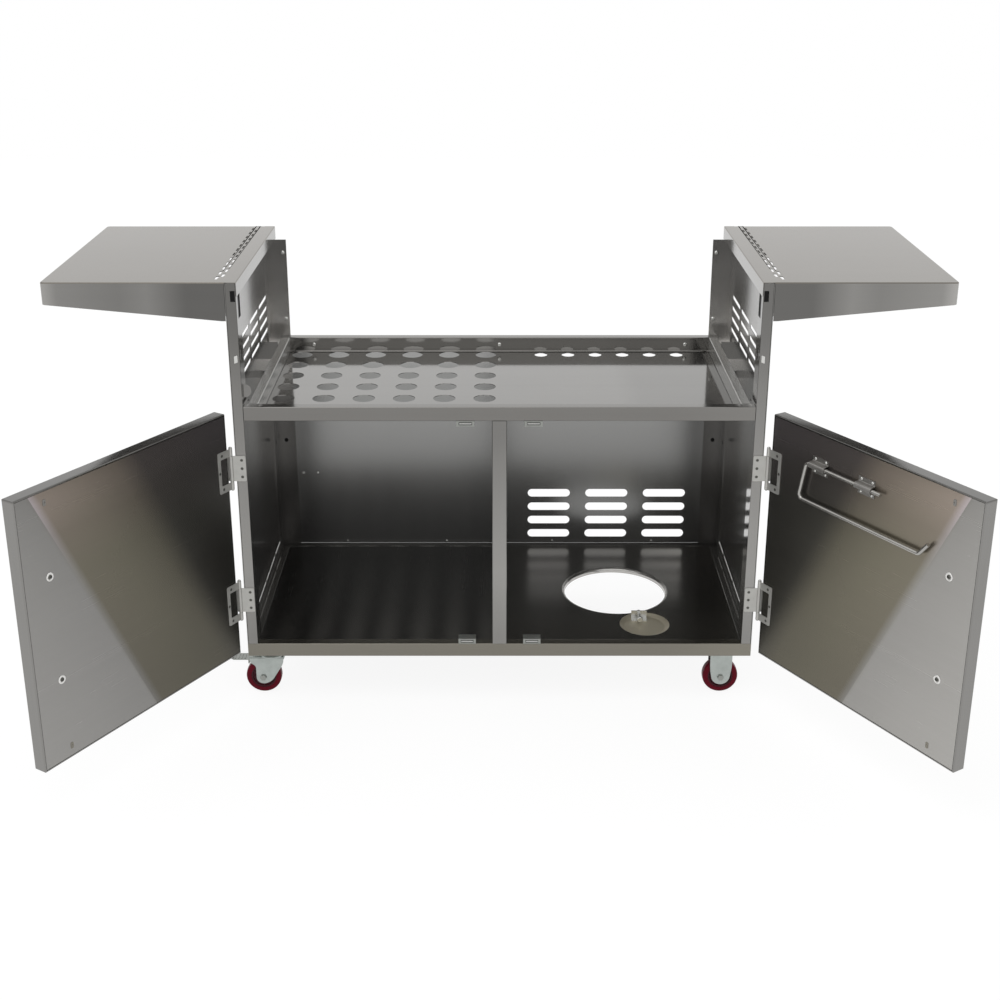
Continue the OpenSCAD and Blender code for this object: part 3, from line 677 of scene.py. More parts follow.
# Floor. Two flat sheets on the base frame; the right one has a rolled rim round the opening for
# the gas bottle and, in front of it, a shallow pressed dish for the tank lock.
FLOOR_TOP = 133.0
SHEET = 1.2
FLOOR_SEAM = 0.2
TANK_X = (HALF_WIDTH - 7.5) / 2
TANK_Y = DEPTH / 2 - 1
TANK_RADIUS = 114.0
TANK_LIP = 6.0
DISH_X = TANK_X + 53
DISH_Y = TANK_Y - 166.5
DISH_RADIUS = 54.0
DISH_DROP = 6.0
DISH_SLOPE = 9.0
RIM_FOOT = -11.0
REFLECTION_BAND_PITCH = 0.072
REFLECTION_BAND_CREST = -0.025
# painted shade: the left floor sheet is painted a dark grey
PAINTED_SHADE_FLOOR_GREY = (0.1, 0.097, 0.091)


def painted_floor_reflections(tree, place):
    """Painted reflections on the left sheet: even bands of light and dark, clearest in front, and a tone
    painted lighter at its front and rear edges.
    """
    turn = (part_of(tree, place, "X") - REFLECTION_BAND_CREST) * (math.tau / REFLECTION_BAND_PITCH)
    wave = tree.node("ShaderNodeMath", {"operation": "COSINE"}, {0: turn}) * 0.5 + 0.5
    back = part_of(tree, place, "Y")
    tone = wave * (0.62 - back * 1.3) + 0.47
    near = graded(tree, back, (0.03, 1.45), (0.13, 1.05), (0.23, 0.88), (0.4, 0.95), (0.46, 1.2))
    return times(tree, near, tree.grey(tone))


floor_steel = steel("floor_left_grain", ALONG_Y, PAINTED_SHADE_FLOOR_GREY, 0.26, 0.5, 0.05, None, painted_floor_reflections)
# painted shade and reflection: the right sheet is painted dark grey, darker in its middle and brighter
# by the right wall
brushed_floor = steel("floor_right_grain", ALONG_X, (0.1, 0.096, 0.085), 0.2, 0.5, 0.05, None, by_place(
    X=((0.3, 1.0), (0.45, 1.8)), Y=((0.03, 0.95), (0.13, 0.6), (0.23, 0.47), (0.43, 0.65))), 1.0)
dish_steel = steel("dish_satin", ALONG_X, (0.58, 0.535, 0.42), 0.45, 0.1, 0.35)
rim_steel = steel("tank_rim", ALONG_X, (0.5, 0.49, 0.47), 0.2, 0.05, 0.1)
cover("floor_left", floor_steel)
sheet_right = bmesh.new()
outline = [sheet_right.verts.new((x, y, FLOOR_TOP)) for x, y in oblong(
    FLOOR_SEAM, RAIL_DEPTH, HALF_WIDTH - RAIL_DEPTH, DEPTH - RAIL_DEPTH)]
for pair in zip(outline, outline[1:] + outline[:1]):
    sheet_right.edges.new(pair)
OPENINGS = ((TANK_X, TANK_Y, TANK_RADIUS + TANK_LIP), (DISH_X, DISH_Y, DISH_RADIUS))
for x, y, radius in OPENINGS:
    bmesh.ops.create_circle(sheet_right, segments=96, radius=radius, cap_ends=False,
                            matrix=at(x, y, FLOOR_TOP))
bmesh.ops.triangle_fill(sheet_right, edges=sheet_right.edges[:], use_beauty=True, use_dissolve=False)
for x, y, radius in OPENINGS:
    drop(sheet_right, [face for face in sheet_right.faces
                       if (face.calc_center_median().xy - Vector((x, y))).length < radius])
for face in sheet_right.faces:
    if face.normal.z < 0:
        face.normal_flip()
thicken(sheet_right, SHEET)
DISH = ((0, 0), (2, -0.5), (DISH_SLOPE, 0.6 - DISH_DROP), (DISH_SLOPE + 3, -DISH_DROP),
        (DISH_RADIUS, -DISH_DROP), (DISH_RADIUS, -DISH_DROP - SHEET),
        (DISH_SLOPE + 2, -DISH_DROP - SHEET), (1, -SHEET), (0, -SHEET))
dish = turned([(DISH_RADIUS - inset, height) for inset, height in DISH], 96)
put(sheet_right, dish, at(DISH_X, DISH_Y, FLOOR_TOP), 1)
RIM = ((TANK_LIP, 0), (4.4, -0.3), (2.6, -1.1), (0.8, -3), (0.1, -TANK_LIP), (0, RIM_FOOT),
       (SHEET, RIM_FOOT), (1.3, -5.7), (2, -3.6), (3.8, -1.8), (TANK_LIP, -SHEET))
rim = turned([(TANK_RADIUS + out, height) for out, height in RIM], 120)
put(sheet_right, rim, at(TANK_X, TANK_Y, FLOOR_TOP), 2)
hand_over(sheet_right, "floor_right_sheet", (brushed_floor, dish_steel, rim_steel), "cart",
          ("floor_right",))

# Posts. The two front posts are channels folded from the same sheet with a deep inner leg, which is
# cut out for the shelf lock; the left one has an ear for the gas line. The rear posts are angles.
POST_WIDTH = 21.5
POST_X = HALF_WIDTH - POST_WIDTH
POST_LEG = 46.0
POST_TOP = 917.4
POST_BEND = 1.3
GUIDE_Z = 881.0
GUIDE_HEIGHT = 20.0
TAB_Z = 755.0
EAR_X = POST_X + 1
EAR_Y = 12.0
EAR_Z = DECK_TOP + 17
EAR_REACH = 18.0
EAR_HEIGHT = 27.0
EAR_ROUND = 13.4
# painted light and shade: the rear angles are painted dark low down, bright just above the deck and
# darker again at the top
rear_steel = steel("rear_angle_grain", ALONG_Z, (0.36, 0.35, 0.335), 0.2, 0.3, 0.25, shade=by_place(
    Z=((0.134, 0.33), (0.5, 0.42), (0.66, 1.9), (0.75, 1.18), (0.8, 0.7), (0.87, 0.47))))
POST_LINE = ((POST_X, POST_LEG), (POST_X, 0), (HALF_WIDTH - SHEET, 0), (HALF_WIDTH - SHEET, POST_WIDTH))
POST_CUTS = (((POST_X + 1.6, -1, GUIDE_Z - 0.8), (POST_X + 11.2, 1, GUIDE_Z + GUIDE_HEIGHT + 1.2)),
             ((POST_X - 1, 17, GUIDE_Z - 39), (POST_X + 1, 41, GUIDE_Z + 9)),
             ((POST_X - 1, 12, TAB_Z + 2), (POST_X + 1, 26, TAB_Z + 25)))
# painted light and shade: the left post is painted darker than the right, and both change tone by height
POST_PAINTED_LIGHT_TONES = {"left": (0.235, 0.23, 0.22), "right": (0.265, 0.26, 0.25)}
for name, side in SIDES:
    upright_steel = steel(name + "_post_grain", ALONG_Z, POST_PAINTED_LIGHT_TONES[name], shade=by_place(Z=(
        (0.15, 0.96), (0.3, 1.2), (0.45, 1.1), (0.6, 0.98), (0.7, 0.87), (0.8, 0.68), (0.87, 0.62))))
    post = bmesh.new()
    put(post, folded(POST_LINE, BASE_TOP, POST_TOP, TUBE_WALL, POST_BEND, POST_CUTS), side)
    if name == "left":
        ear = plate(oblong(EAR_X - EAR_REACH, EAR_Z, EAR_X, EAR_Z + EAR_HEIGHT), TUBE_WALL,
                    [EAR_ROUND, 0.0, 0.0, EAR_ROUND])
        put(post, ear, side @ at(0, EAR_Y, 0))
    hand_over(post, "front_post_%s_channel" % name, (upright_steel,), "cart", ("front_post_" + name,))
    cover("rear_post_" + name, rear_steel)

# Skins and back. Thin flat sheets, laser cut with louvre slots at the sides and vents behind the
# gas bottle; the back sheet is painted darker towards its foot and lighter at its top, as painted shade
# and light.
# painted light and shade: the skins are painted lighter and darker by height
skin_steel = steel("skin_grain", ALONG_Y, STEEL, 0.14, 0.3, 0.12, shade=by_place(
    Z=((0.13, 1.15), (0.3, 1.2), (0.45, 1.1), (0.58, 1.35), (0.66, 0.95), (0.82, 0.76), (0.9, 0.9))))
back_steel = steel("back_grain", ALONG_Z, (0.5, 0.5, 0.49), 0.22, 0.6, 0.08, shade=by_place(Z=(
    (0.134, 0.3), (0.2, 0.37), (0.28, 0.48), (0.36, 0.49), (0.44, 0.53), (0.575, 0.55), (0.6, 0.68))))
cover("side_skin_left", skin_steel)
cover("side_skin_right", skin_steel)
cover("back_panel", back_steel)

# Deck. A sheet sunk inside the frame, punched with large holes at the left and one row of small
# ones at the right, with a small bend along its rear corner and brackets to the posts and skins.
DECK_OUT = POST_X - 7
DECK_IN = DECK_OUT - 20
BACK_Y = DEPTH - SHEET
DECK_REAR = BACK_Y - 2 - RAIL_DEPTH
PLATE_TOP = DECK_TOP - DECK_DROP
CORNER_BEND = 2.6
SCREW_Z = DECK_TOP - 17
SWAP_XZ = Matrix(((0, 0, 1, 0), (0, 1, 0, 0), (1, 0, 0, 0), (0, 0, 0, 1)))
# painted reflection: the plate is painted brighter along its rear edge and a little duller at its right
# end
deck_steel = steel("deck_grain", ALONG_X, STEEL, 0.09, 0.5, 0.08, None, by_place(
    Y=((0.35, 1.0), (0.38, 1.45)), X=((0.25, 1.0), (0.3, 0.88))))
cover("deck_plate", deck_steel)
cover("deck_brackets", stile_steel)
seam = folded(((PLATE_TOP + 6, DECK_REAR - 0.7), (PLATE_TOP + 0.7, DECK_REAR - 0.7),
               (PLATE_TOP + 0.7, DECK_REAR - 6)), -DECK_IN, DECK_IN, 0.6, CORNER_BEND)
hand_over_one(seam, SWAP_XZ, "deck_rear_corner_bend", (rail_steel,), "cart")

# Catches, screws and guides. Magnet catches beside the stile hold the doors; pan head screws hold
# the rear angles and the deck; black plastic guides sit in the post fronts.
CATCH_X = (50.0, 87.0)
CATCH_DEEP = 20.0
CATCH_HIGH = 11.5
CATCH_LOWS = (BASE_TOP, DECK_TOP - 29.5 - CATCH_HIGH)
ANGLE_SCREW_X = HALF_WIDTH - 38
SEAM_SCREW_Z = BASE_TOP + 5.7
PLUG = ((0, 0), (4.6, 0), (4.6, 0.5), (0, 0.7))
HEAD_HEIGHT = 2.5
# the place and radius of each screw head, first of those that both sides have
PAIRED_HEADS = (
    (ANGLE_SCREW_X, DEPTH - 3.2, 859, 5.0), (ANGLE_SCREW_X, DEPTH - 3.2, 703, 5.0),
    (430, DECK_REAR, SCREW_Z, 5.0), (HALF_WIDTH - 161.5, BACK_Y, SEAM_SCREW_Z, 3.0),
    (HALF_WIDTH - 404.5, BACK_Y, SEAM_SCREW_Z, 3.0))
LONE_HEADS = ((0, DECK_REAR, SCREW_Z, 5.0), (60.8 - HALF_WIDTH, BACK_Y, 318, 4.0),
              (95.6 - HALF_WIDTH, BACK_Y, 318, 4.0))


def screw_head(radius, height):
    """A pan head with a small driver recess, standing up from the sheet."""
    return turned(((0, 0), (radius, 0), (radius * 0.97, height * 0.3), (radius * 0.82, height * 0.75),
                   (radius * 0.58, height * 0.97), (radius * 0.38, height), (radius * 0.3, height * 0.5),
                   (0, height * 0.45)), 28)


bright_zinc = metal("bright_zinc", (0.62, 0.62, 0.60), 0.22, 0.1)
dark_screw = metal("dark_screw", (0.10, 0.10, 0.09), 0.4, 0.1)
guide_black = moulded("guide_plastic", (0.008, 0.008, 0.008), 0.42, 0.12)
catches = bmesh.new()
for side in (LEFT, RIGHT):
    for z in CATCH_LOWS:
        body = block((CATCH_X[0], 0.0, z), (CATCH_X[1], CATCH_DEEP, z + CATCH_HIGH))
        sink(body, (55, -1, z + 3), (82, 1, z + 8.5), Y * 2.2)
        blunt(body, [edge for edge in edges_along(body, X) + edges_along(body, Z)
                     if edge.calc_length() > 9 and abs(edge.verts[0].co.y) < 0.01
                     and edge.calc_face_angle() > 1], 0.7, 2)
        for face in body.faces:
            spot = face.calc_center_median()
            face.material_index = int(0.5 < spot.y < 2.3 and 54 < spot.x < 83 and spot.z < z + 9)
        put(catches, body, side)
        pole = block((56, 0.5, z + 4.6), (81, 2.2, z + 6.6))
        put(catches, pole, side, 2)
hand_over(catches, "door_catches", (bolt_zinc, guide_black, bright_zinc), "cart", ("magnet_catches",),
          "zinc")

screws = bmesh.new()
heads = [(way * x, y, z, radius) for way in (-1, 1) for x, y, z, radius in PAIRED_HEADS]
for x, y, z, radius in (*heads, *LONE_HEADS):
    put(screws, screw_head(radius, HEAD_HEIGHT), at(x, y, z) @ TO_FRONT)
for side in (LEFT, RIGHT):
    tab = plate(((-3.4, 2.5), (3.4, 0), (3.4, 14.5), (-3.4, 17)), 0.8, 1.0, 0.2)
    put(screws, tab, side @ at(HALF_WIDTH - 14, -0.8, TAB_Z))
    for spot in (at(HALF_WIDTH - 24, BACK_Y, 403) @ TO_FRONT,
                 at(HALF_WIDTH - SHEET, DEPTH - 25.2, 405) @ TO_INSIDE):
        put(screws, turned(PLUG, 24), side @ spot, 1)
hand_over(screws, "frame_screw_heads", (bright_zinc, guide_black), "cart", ("frame_screws",), "zinc")

guides = bmesh.new()
for side in (LEFT, RIGHT):
    for low, high in (
            ((POST_X + 1.7, 0.3, GUIDE_Z - 0.6), (POST_X + 11, 19, GUIDE_Z + GUIDE_HEIGHT + 1)),
            ((POST_X + 1.6, 15, GUIDE_Z - 41), (POST_X + 8.3, 43, GUIDE_Z + 11))):
        guide = block(low, high)
        blunt(guide, guide.edges[:], 0.6, 2)
        put(guides, guide, side)
hand_over(guides, "shelf_guides", (guide_black,), "cart", ("post_guides",), "guide_plastic")

# Side shelves. Each is one sheet folded into a shallow hood whose skirts narrow outwards, with
# two rows of slots where it hooks over the side wall; hanger bars on the wall carry it.
SHELF_OUT = HALF_WIDTH + 357.5
SHELF_DEPTH = 522.0
SHELF_TOP = 919.0
SKIRT_INNER = 841.5
SKIRT_OUTER = 874.5
SKIRT_START = HALF_WIDTH + 0.8
LIP_X = POST_X - 1.7
LIP_LOW = 890.4
SHELF_CORNER = 8.0
SHELF_BEND = 2.3
SLOT_GAPS = 11
SLOT_STEP = (SHELF_DEPTH - 68.8) / SLOT_GAPS
SLOT_LONG = 24.0
SLOT_WIDE = 5.0
SLOT_START = 25.5
SLOT_SHIFT = 21.0
OUTER_SLOT_X = HALF_WIDTH + 18.5
INNER_SLOT_X = HALF_WIDTH + 9.5
HOOK_X = HALF_WIDTH + 7.3
# painted light and shade: the skirts are painted darker towards the wall, the top gets one painted tone
# and the right shelf is painted lighter
SKIRT_PAINTED_SHADE_TONES = ((0.52, 0.85), (0.535, 0.5), (0.61, 0.5), (0.685, 0.9), (0.74, 0.78), (0.86, 0.95),
               (0.885, 1.35))
TOP_PAINTED_SHEEN = (0.7, 0.66, 0.6)
SKIRT_PAINTED_LIGHT_LEVELS = {"left": 1.0, "right": 1.15}


def saw(shape, spot, way, **kept):
    """Cuts a whole shape along a plane."""
    bmesh.ops.bisect_plane(shape, geom=shape.faces[:] + shape.edges[:] + shape.verts[:], plane_co=spot,
                           plane_no=way, **kept)


def shelf_painted_shade(level):
    """Painted shade and light: the skirts are painted darker towards the wall and the top one even
    painted tone.
    """

    def shade(tree, place):
        out = tree.node("ShaderNodeMath", {"operation": "ABSOLUTE"}, {0: part_of(tree, place, "X")})
        top = part_of(tree, place, "Z") > (SHELF_TOP - 2.2) * MM
        return graded(tree, out + top, *((spot, tone * level) for spot, tone in SKIRT_PAINTED_SHADE_TONES),
                      (0.95, TOP_PAINTED_SHEEN))

    return shade


for name, side in SIDES:
    shelf_steel = steel(name + "_shelf_grain", ALONG_X, STEEL, 0.12, 0.3, 0.08, None,
                        shelf_painted_shade(SKIRT_PAINTED_LIGHT_LEVELS[name]))
    hood = block((LIP_X, 0, SKIRT_INNER), (SHELF_OUT, SHELF_DEPTH, SHELF_TOP))
    drop(hood, facing(hood, -Z))
    saw(hood, (SKIRT_START, 0, 0), X)
    window(hood, (LIP_X - 1, -1, SKIRT_INNER - 1), (SKIRT_START, SHELF_DEPTH + 1, LIP_LOW))
    drop(hood, [face for face in facing(hood, Y) + facing(hood, -Y)
                if face.calc_center_median().x < SKIRT_START])
    slope = Vector((SKIRT_INNER - SKIRT_OUTER, 0, SHELF_OUT - HALF_WIDTH - 8.5))
    saw(hood, (SHELF_OUT, 0, SKIRT_OUTER), slope, clear_inner=True)
    for slot in range(SLOT_GAPS + 1):
        y = SLOT_START + slot * SLOT_STEP
        slots = [(OUTER_SLOT_X, y)]
        if slot < SLOT_GAPS:
            slots.append((INNER_SLOT_X, y + SLOT_SHIFT))
        for x, start in slots:
            window(hood, (x, start, SHELF_TOP - 1), (x + SLOT_WIDE, start + SLOT_LONG, SHELF_TOP + 1))
    blunt(hood, creases(edges_along(hood, Z)), SHELF_CORNER, 8)
    blunt(hood, [edge for edge in creases(hood.edges) if edge.verts[0].co.z > SHELF_TOP - 0.1],
          SHELF_BEND, 4)
    thicken(hood, SHEET)
    whole = bmesh.new()
    put(whole, hood, side)
    hook = block((HOOK_X, SHEET + 0.2, SKIRT_INNER),
                 (HOOK_X + SHEET, SHELF_DEPTH - SHEET - 0.2, SHELF_TOP - SHEET))
    put(whole, hook, side)
    hand_over(whole, "shelf_%s_hood" % name, (shelf_steel,), name + "_shelf", ("shelf_" + name,))
cover("shelf_hangers", side_steel)

# Doors. Each is a pan folded round with a narrow hem that holds a flat liner; both stand open and
# show their liner. A strike for the magnet sits at the free edge, above and below.
PIN_X = HALF_WIDTH + 9
PIN_Y = -2.0
OPEN_ANGLE = math.radians(121.76)
DOOR_X0 = 1.0
DOOR_X1 = HALF_WIDTH
DOOR_BACK = -1.7
DOOR_FRONT = -29.7
DOOR_Z0 = 117.4
DOOR_Z1 = 653.0
DOOR_MIDDLE = (DOOR_Z0 + DOOR_Z1) / 2
HEM = 3.2
DOOR_BEND = 1.8
LINER_EDGE = HEM + 0.9
LINER_SUNK = 0.2
STUD_X = 64.0
STUD_WIDE = 7.0
STUD_HIGH = 13.0
PIN = Vector((PIN_X, PIN_Y, 0))
SWING = Matrix.Translation(PIN) @ Matrix.Rotation(OPEN_ANGLE, 4, "Z") @ Matrix.Translation(-PIN)
PIN_AT = CART @ PIN
PIN_BACK = Matrix.Rotation(-OPEN_ANGLE, 3, "Z") @ PIN_AT
# painted light: the right liner is painted lighter than the left
LINER_PAINTED_LIGHT_TONES = {"left": STEEL, "right": (0.332, 0.324, 0.308)}
# the scale across the painted reflection band rises by these per metre; outside it the tone is that of
# one height
BAND_X = 1.878
BAND_Z = 0.896
BAND_START = 0.105
BAND_SCALE = 0.6667
REFLECTION_BAND_EDGE = 0.36
OUTSIDE_BAND_HEIGHT = 0.4


def liner_painted_reflection(tree, place):
    """Painted reflection: the liner is painted duller over a broad slanting band, and the band is
    painted a little brighter towards the top."""
    height = part_of(tree, place, "Z")
    slant = (part_of(tree, place, "X") * BAND_X + height * BAND_Z - BAND_START) * BAND_SCALE
    painted_reflection_band = graded(tree, slant, (0.04, 1.27), (0.2, 1.15), (0.353, 1.0), (0.383, (0.59, 0.55, 0.44)),
                  (0.5, (0.53, 0.50, 0.39)), (0.61, (0.45, 0.425, 0.335)), (0.685, (0.24, 0.235, 0.21)),
                  (1.0, (0.27, 0.27, 0.26)))
    band_height = (height - OUTSIDE_BAND_HEIGHT) * (slant > REFLECTION_BAND_EDGE) + OUTSIDE_BAND_HEIGHT
    return times(tree, painted_reflection_band, graded(tree, band_height, (0.16, 0.77), (0.48, 1.08),
                                    (0.56, (1.33, 1.26, 1.33)), (0.63, (1.95, 1.8, 2.0))))


for name, side in SIDES:
    place = side @ SWING
    seat = {"Scale": (side[0][0], 1.0, 1.0), "Rotation": (0.0, 0.0, -OPEN_ANGLE),
            "Location": PIN_AT - PIN_BACK}
    # painted shade: the top face of each door's pan is painted darker
    pan_steel = steel(name + "_pan_grain", ALONG_Z, STEEL, 0.12, 0.3, 0.1, seat,
                      by_place(Z=((0.6505, 1.0), (0.6515, 0.6))))
    liner_steel = steel(name + "_liner_grain", ALONG_X, LINER_PAINTED_LIGHT_TONES[name], 0.26, 0.3, 0.3, seat,
                        liner_painted_reflection, 0.1)
    pan = block((DOOR_X0, DOOR_FRONT, DOOR_Z0), (DOOR_X1, DOOR_BACK, DOOR_Z1))
    back = facing(pan, Y)
    bmesh.ops.inset_region(pan, faces=back, thickness=HEM, use_even_offset=True)
    drop(pan, back)
    blunt(pan, creases(pan.edges), DOOR_BEND, 4)
    thicken(pan, SHEET)
    hand_over_one(pan, place, name + "_door_outer", (pan_steel,), name + "_door", (name + "_door_pan",))
    liner = block((DOOR_X0 + LINER_EDGE, DOOR_BACK - SHEET - LINER_SUNK, DOOR_Z0 + LINER_EDGE),
                  (DOOR_X1 - LINER_EDGE, DOOR_BACK - LINER_SUNK, DOOR_Z1 - LINER_EDGE))
    blunt(liner, list(facing(liner, Y)[0].edges), 0.4, 2)
    whole = bmesh.new()
    put(whole, liner, place)
    for z in (CATCH_LOWS[0] + 1, CATCH_LOWS[1] - 1):
        stud = plate(oblong(STUD_X, z, STUD_X + STUD_WIDE, z + STUD_HIGH), 0.6, 3.0, 0.2)
        put(whole, stud, place @ at(0, DOOR_BACK - 0.3, 0), 1)
        spot = at(STUD_X + STUD_WIDE / 2, DOOR_BACK + 0.3, z + STUD_HIGH / 2)
        put(whole, screw_head(2.2, 0.7), place @ spot @ TO_Y, 1)
    hand_over(whole, name + "_door_lining", (liner_steel, rail_steel), name + "_door",
              (name + "_door_liner",))

# Handles. A round bar on two short posts, each held by a screw from inside the door; the screws'
# cup washers show on the liner.
GRIP_X = DOOR_X0 + 61
GRIP_PITCH = 206.0
GRIP_OFF = 42.0
GRIP_RADIUS = 9.5
LEG_RADIUS = 6.0
LEG_LONG = GRIP_OFF - 6
SHANK_RADIUS = 2.5
SHANK_END = DOOR_FRONT - DOOR_BACK - 18
CUP = ((3.2, 0), (8.3, 0), (8.0, 0.5), (6.9, 1.0), (5.8, 0.95), (4.9, 0.35), (3.2, 0.3))
bright_steel = steel("handle_polish", ALONG_Z, (0.42, 0.41, 0.39), 0.14, 0.02, 0.05)
cup_bright = metal("cup_washer", (0.85, 0.84, 0.82), 0.3, 0.05, 0.5)
BAR_END = GRIP_PITCH / 2 + 35
BAR = doubled(((0, -BAR_END), (7.6, -BAR_END), (8.9, 0.6 - BAR_END), (GRIP_RADIUS, 2 - BAR_END)))
LEG = ((0, 0), (8, 0), (8, 1.6), (6.4, 2.6), (LEG_RADIUS, 4), (LEG_RADIUS, LEG_LONG), (0, LEG_LONG))
SCREW_SHANK = ((0, SHANK_END), (SHANK_RADIUS, SHANK_END), (SHANK_RADIUS, 0), (0, 0))
for name, side in SIDES:
    place = side @ SWING
    handle = bmesh.new()
    put(handle, turned(BAR, 40), place @ at(GRIP_X, DOOR_FRONT - GRIP_OFF, DOOR_MIDDLE))
    held = bmesh.new()
    for end in (-1, 1):
        z = DOOR_MIDDLE + end * GRIP_PITCH / 2
        put(handle, turned(LEG, 32), place @ at(GRIP_X, DOOR_FRONT, z) @ TO_FRONT)
        spot = place @ at(GRIP_X, DOOR_BACK, z) @ TO_Y
        put(held, turned(CUP, 36), spot)
        put(held, screw_head(4.2, 2.4), spot, 1)
        put(held, turned(SCREW_SHANK, 16), spot, 1)
    hand_over(handle, name + "_handle_bar", (bright_steel,), name + "_door", (name + "_handle",),
              "polished_steel")
    hand_over(held, name + "_handle_cups", (cup_bright, dark_screw), name + "_door",
              (name + "_handle_screws",), "zinc")

# Hinges. Butt hinges pressed from satin strip: the leaf on the door is cut out like a C so that the
# post's leaf folds into it; knuckles are curled from the strip and the pins have ball tips.
HINGE_ROWS = (DOOR_Z0 + 120, DOOR_Z1 - 120)
HINGE_AXIS = at(PIN_X, PIN_Y, 0)
LEAF_HALF = 44.0
SLOT_HALF = 28.0
LEAF_THICK = 1.5
LEAF_X = DOOR_X1 - 30
KNUCKLE_RADIUS = 4.0
PIN_RADIUS = 2.5
BALL = ((3.3, 0.2), (3.6, 1.1), (3.3, 2.0), (2.2, 3.0), (0, 3.2))
LEAF_END = PIN_X - 2
FLUSH = 0.15
hinge_steel = metal("hinge_satin", (0.48, 0.475, 0.45), 0.36, 0.14, 0.4)
knuckle_steel = metal("hinge_pin", (0.42, 0.415, 0.40), 0.28, 0.1)


def knuckle(low, high):
    inside = PIN_RADIUS + 0.1
    rim = KNUCKLE_RADIUS - 0.3
    return turned(((inside, low), (rim, low), (KNUCKLE_RADIUS, low + 0.4),
                   (KNUCKLE_RADIUS, high - 0.4), (rim, high), (inside, high)), 28)


post_leaves = bmesh.new()
pins = bmesh.new()
for name, side in SIDES:
    place = side @ SWING
    leaves = bmesh.new()
    for z in HINGE_ROWS:
        top = z + LEAF_HALF
        low = z - LEAF_HALF
        slot_low = z - SLOT_HALF
        slot_top = z + SLOT_HALF
        c_plate = plate(((LEAF_X, low), (LEAF_END, low), (LEAF_END, slot_low), (LEAF_X + 8, slot_low),
                         (LEAF_X + 8, slot_top), (LEAF_END, slot_top), (LEAF_END, top), (LEAF_X, top)),
                        LEAF_THICK, [4.0, 0.0, 0.0, 2.0, 2.0, 0.0, 0.0, 4.0])
        put(leaves, c_plate, place @ at(0, DOOR_BACK, 0))
        for start, end in ((low, slot_low), (slot_top, top)):
            put(leaves, knuckle(start, end), place @ HINGE_AXIS)
        for x, height in ((LEAF_X + 12, low + 8), (LEAF_X + 4, z), (LEAF_X + 12, top - 8)):
            put(leaves, screw_head(3.0, FLUSH), place @ at(x, DOOR_BACK + LEAF_THICK, height) @ TO_Y, 1)
        near = POST_X + 1
        foot = slot_low + 0.6
        head = slot_top - 0.6
        strip = plate(oblong(near, foot, LEAF_END, head), LEAF_THICK, [3.0, 0.0, 0.0, 3.0])
        put(post_leaves, strip, side @ at(0, -LEAF_THICK, 0))
        put(post_leaves, knuckle(foot, head), side @ HINGE_AXIS)
        tail = block((PIN_X + 3, PIN_Y - 0.8, foot + 1), (PIN_X + 7.4, PIN_Y + 0.8, head - 1))
        blunt(tail, edges_along(tail, Z), 0.5, 2)
        put(post_leaves, tail, side)
        for step in (-18, 0, 18):
            spot = at(near + 8, -LEAF_THICK, z + step)
            put(post_leaves, screw_head(3.0, FLUSH), side @ spot @ TO_FRONT, 1)
        foot_ball = [(radius, low - out) for radius, out in BALL[::-1]]
        head_ball = [(radius, top + out) for radius, out in BALL]
        pin = turned([*foot_ball, (PIN_RADIUS, low), (PIN_RADIUS, top), *head_ball], 24)
        put(pins, pin, side @ HINGE_AXIS)
    hand_over(leaves, name + "_door_hinge_leaves", (hinge_steel, dark_screw), name + "_door",
              (name + "_door_leaves",), "polished_steel")
hand_over(post_leaves, "post_hinge_leaves", (hinge_steel, dark_screw), "cart", ("post_leaves",),
          "polished_steel")
hand_over(pins, "hinge_ball_pins", (knuckle_steel,), "cart", ("hinge_pins",), "polished_steel")

# Towel holder. An 8 mm rod bent into a long hook on the right door's liner; it swings in two
# saddles pressed from strip, each held by four screws.
ROD_RADIUS = 3.95
ROD_BEND = 10.0
ROD_SIDES = 24
TOWEL_X = DOOR_X1 - 107
TOWEL_Y = DOOR_BACK + 9
TOWEL_TOP = DOOR_Z0 + 469.5
TOWEL_LOW = TOWEL_TOP - 77.5
TOWEL_RUN = 294.0
TOWEL_END = 197.0
TIP_ANGLE = math.radians(52)
LEAN = math.radians(11.5)
SADDLE_LENGTH = 42.0
SADDLE_HALF = 17.0
TIP_LONG = 27.5
SADDLE_LINE = ((-SADDLE_HALF, 1.5), (-7.6, 1.5), (-6.8, 9), (-4.6, 13.4), (0, 14.9), (4.6, 13.4),
               (6.8, 9), (7.6, 1.5), (SADDLE_HALF, 1.5))
SADDLE_SCREWS = ((-14, -12.3), (-14, 12.3), (14, -12.3), (14, 12.3))


def bent_rod(radius, start, way, moves):
    """A rod drawn from its start: each move is a length, or a bend as angle, radius and axis."""
    shape = bmesh.new()
    spot = Vector(start)
    way = Vector(way).normalized()
    bmesh.ops.create_circle(shape, segments=ROD_SIDES, radius=radius, cap_ends=False,
                            matrix=at(*spot) @ way.to_track_quat("Z", "Y").to_matrix().to_4x4())
    ring = shape.edges[:]
    ends = [ring]
    for move in moves:
        if isinstance(move, tuple):
            angle, reach, axis = move
            centre = spot + axis.cross(way) * reach
            drawn = bmesh.ops.spin(shape, geom=ring, cent=centre, axis=axis, angle=angle, steps=10,
                                   use_duplicate=False)["geom_last"]
            turn = Matrix.Rotation(angle, 3, axis)
            spot = centre + turn @ (spot - centre)
            way = turn @ way
        else:
            drawn = bmesh.ops.extrude_edge_only(shape, edges=ring)["geom"]
            bmesh.ops.translate(shape, verts=corners_in(drawn), vec=way * move)
            spot = spot + way * move
        last = set(corners_in(drawn))
        ring = [part for part in drawn if isinstance(part, bmesh.types.BMEdge)
                and all(vert in last for vert in part.verts)]
    ends.append(ring)
    for edges in ends:
        bmesh.ops.edgeloop_fill(shape, edges=edges)
    bmesh.ops.recalc_face_normals(shape, faces=shape.faces[:])
    return shape


